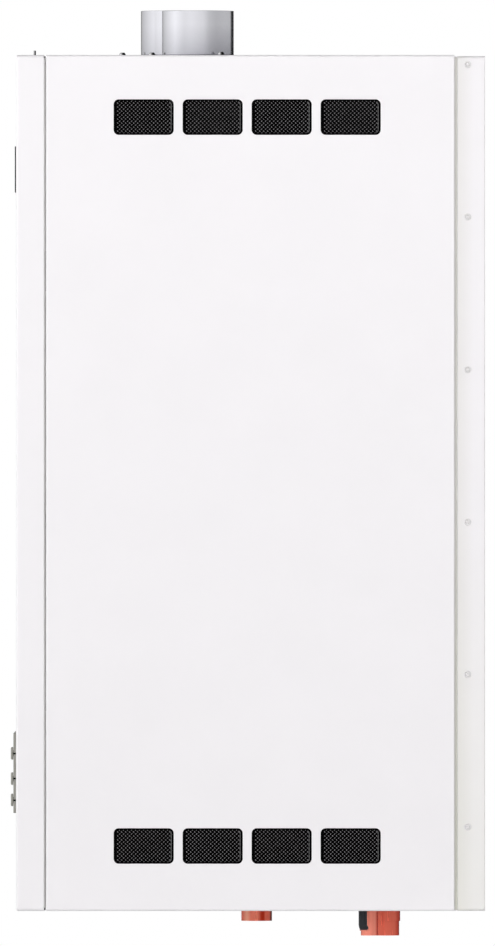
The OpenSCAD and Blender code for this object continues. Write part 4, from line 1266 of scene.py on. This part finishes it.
def dress(names, soft, material):
    """Gives CAD nodes a material and eases their edges."""
    for name in names.split():
        piece = nodes[name]
        piece.data.materials.clear()
        piece.data.materials.append(material)
        weld = piece.modifiers.new("weld", "WELD")
        weld.merge_threshold = 0.00001
        if soft:
            edges = piece.modifiers.new("edges", "BEVEL")
            edges.width = soft
            edges.segments = 2
            edges.limit_method = "ANGLE"
            edges.angle_limit = math.radians(35)
            edges.harden_normals = False
        normals = piece.modifiers.new("normals", "WEIGHTED_NORMAL")
        normals.keep_sharp = False


def dress_frame_and_boards(dark):
    dress("hinge_brackets", 0.0003,
          surface("zinc", (0.62, 0.63, 0.65), 0.34, 1, mottle=0.10, cloud=90, grain=500))
    dress("support_frame", 0.0006,
          surface("galvanised", (0.50, 0.52, 0.53), 0.42, 1, mottle=0.16, cloud=70, grain=240))
    dress("magnet_catches", 0.0004, dark)
    dress("control_housing fan_motor", 0.0006, dark)
    dress("control_board", 0.0002,
          surface("board_green", (0.012, 0.11, 0.045), 0.28, mottle=0.2, cloud=240, grain=900, coat=0.4))


def dress_burner_side(dark):
    dress("air_silencer", 0.0012,
          surface("silencer_black", (0.028, 0.028, 0.030), 0.55, mottle=0.1, grain=600, depth=0.00005))
    dress("exhaust_pipe", 0.0008, surface("flue_grey", (0.47, 0.48, 0.49), 0.45, mottle=0.04, grain=500))
    dress("flue_sump condensate_trap", 0.0012,
          surface("sump_black", (0.032, 0.033, 0.037), 0.5, mottle=0.1, grain=500, depth=0.00004))
    dress("exchanger_drum plate_exchanger", 0.0006,
          surface("drum_steel", (0.60, 0.60, 0.61), 0.30, 1, mottle=0.06, cloud=20, grain=500,
                  stretch=(1, 14, 1), depth=0.00001, spread=0.12))
    dress("exchanger_coil burner_tube", 0,
          surface("heat_steel", (0.42, 0.38, 0.34), 0.38, 1, mottle=0.15, second=(0.40, 0.42, 0.48)))
    dress("burner_door fan_housing gas_air_mixer", 0.0012,
          surface("cast_aluminium", (0.58, 0.59, 0.60), 0.50, 0.85, mottle=0.07, cloud=50, grain=420,
                  depth=0.00009, spread=0.14))
    dress("gas_valve", 0.001,
          surface("valve_cast", (0.44, 0.45, 0.47), 0.46, 0.8, mottle=0.06, grain=480, depth=0.00006))
    dress("burner_nuts", 0.0004,
          surface("yellow_zinc", (0.62, 0.50, 0.22), 0.32, 1, mottle=0.18, cloud=220,
                  second=(0.62, 0.44, 0.34)))
    dress("ignition_electrode", 0.0004,
          surface("electrode_glaze", (0.82, 0.80, 0.75), 0.16, mottle=0.03, coat=0.6))
    dress("fan_impeller pump_impeller", 0, dark)


def dress_water_side(dark):
    dress("pump_housing", 0.0012,
          surface("pump_lacquer", (0.045, 0.046, 0.05), 0.38, mottle=0.12, grain=330, depth=0.00010))
    dress("pump_motor", 0.001,
          surface("motor_red", (0.24, 0.018, 0.016), 0.36, mottle=0.08, grain=420, depth=0.00005))
    dress("diverter_actuator", 0.001, dark)
    dress("expansion_vessel", 0.001,
          surface("vessel_red", (0.46, 0.025, 0.02), 0.24, mottle=0.06, cloud=12, grain=300, coat=0.5))
    dress("relief_knob", 0.0006, surface("knob_red", (0.55, 0.02, 0.015), 0.30, mottle=0.04, grain=800))
    dress("pressure_gauge", 0.0005, dark)
    dress("gauge_needle", 0, surface("needle_black", (0.015, 0.015, 0.015), 0.4, mottle=0.1))


# The whole scene

def light_studio():
    make_camera()
    make_world()
    make_lamp("key", (1.8, -0.75, 0.55), (0.24, -0.3, 0.45), (0.6, 0.5), 1.0)
    make_lamp("from_below", (0.262, -0.24, -0.13), (0.24, -0.24, 0), (0.52, 0.05), 0.05)
    make_lamp("pipe_light", (0.32, -0.17, -0.10), (0.15, -0.13, -0.02), (0.22, 0.02), 0.012, 50)
    make_lamp("union_light", (0.02, -0.228, -0.10), (-0.16, -0.228, -0.02), (0.05, 0.02), 0.005, 50)
    make_lamp("front_panel", (0.4, -2.6, 0.8), (0, -0.24, 0.55), (1.0, 1.2), 0.25, 60)
    make_floor()
    bpy.context.scene.view_settings.view_transform = "Standard"


def build_casing():
    enamel = surface("white_enamel", (0.905, 0.905, 0.915), 0.40, mottle=0.008, cloud=14, grain=420,
                     depth=0.000010, spread=0.05)
    # A near-black sheet behind the vents' wire, standing in for the shade inside the casing.
    shade_sheet = surface("vent_shade_sheet", (0.0006, 0.0006, 0.0007), 0.95, mottle=0.3, grain=1800, depth=0.00004,
                    specular=0.01)
    frame_black = frame_lacquer()
    wires = woven_black()
    side_panel("right", enamel)
    side_panel("left", enamel)
    rear_panel(enamel)
    end_panels(enamel)
    front_door(enamel)
    vent_inserts("right", frame_black, wires, shade_sheet)
    vent_inserts("left", frame_black, wires, shade_sheet)


def build_fittings(seal):
    rivets(rivet_enamel())
    zinc = bright_zinc()
    hinge_pins(zinc)
    collar_screws(zinc)
    farther, nearer = sorted(("exhaust_collar", "air_collar"), key=lambda node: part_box(node)[0].x)
    collar(farther, far_flue_steel(), seal)
    collar(nearer, flue_steel("flue_steel", (0.80, 0.80, 0.845)), seal)
    gasket(surface("foam_grey", (0.78, 0.78, 0.76), 0.9, mottle=0.05, grain=2200, depth=0.00006))
    door_buffers(surface("buffer_rubber", (0.10, 0.10, 0.10), 0.7, mottle=0.1, grain=1400))


def build_controls():
    stem = surface("stem_black", (0.004, 0.004, 0.004), 0.6, mottle=0.1, specular=0.03)
    fascia(surface("fascia_grey", (0.31, 0.31, 0.275), 0.46, mottle=0.03, grain=1100, depth=0.00003), stem)
    display(surface("display_glass", (0.008, 0.009, 0.011), 0.08, mottle=0.1, cloud=6, grain=200,
                    depth=0.0000005, spread=0.02, coat=0.5),
            surface("display_digits", (0.42, 0.46, 0.44), 0.4, mottle=0.02))
    cap = surface("button_grey", (0.40, 0.40, 0.365), 0.42, mottle=0.03, grain=1200, depth=0.00002)
    for node, body, _ in BUTTONS:
        button(node, body, cap, stem)
    badge(surface("badge_satin", (0.085, 0.086, 0.09), 0.36, 0.6, mottle=0.04, grain=900,
                  stretch=(0.05, 1, 1), depth=0.000006),
          surface("badge_rim", (0.012, 0.012, 0.013), 0.45, mottle=0.05, grain=900, specular=0.3))


def build_pipes(seal):
    red = copper("copper", (0.86, 0.165, 0.105), (0.88, 0.185, 0.120), [COPPER_EDGE_SHADE])
    # pale_copper is a lighter copy of the same copper: painted light for the tap pipes under the casing.
    pale = copper("pale_copper", (0.95, 0.290, 0.205), (0.97, 0.310, 0.225), [COPPER_EDGE_SHADE])
    brass = surface("brass", (0.66, 0.47, 0.19), 0.32, 1, mottle=0.10, cloud=90, grain=420, depth=0.00003)
    water_tails(red, pale)
    inner_pipes(red)
    union_nuts(brass)
    dress("flow_manifold relief_valve", 0.0010, brass)
    dress("gas_inlet_pipe", 0.0004, copper("union_copper", (0.90, 0.22, 0.145), (0.92, 0.25, 0.165),
                                           [UNION_HIGHLIGHT, UNION_REFLECTION_BAND, UNION_EDGE_SHADE]))
    drain_spout(surface("spout_black", (0.016, 0.018, 0.021), 0.36, mottle=0.1, grain=900, specular=0.35))
    # Black rings that stand in for the shade in the gaps round the pipes.
    pipe_seals(seal)


def main():
    light_studio()
    build_casing()
    seal = surface("flange_seal", (0.03, 0.03, 0.032), 0.7, mottle=0.1, grain=900)
    build_fittings(seal)
    build_controls()
    build_pipes(seal)
    gauge_dial(surface("dial_white", (0.82, 0.82, 0.80), 0.35, mottle=0.01, grain=900))
    mark_black = surface("dial_black", (0.02, 0.02, 0.02), 0.5, mottle=0.05)
    gauge_marks(mark_black)
    gauge_numbers(mark_black)
    dark = surface("moulded_black", (0.022, 0.022, 0.024), 0.48, mottle=0.08, grain=900, depth=0.00003)
    dress_frame_and_boards(dark)
    dress_burner_side(dark)
    dress_water_side(dark)


main()
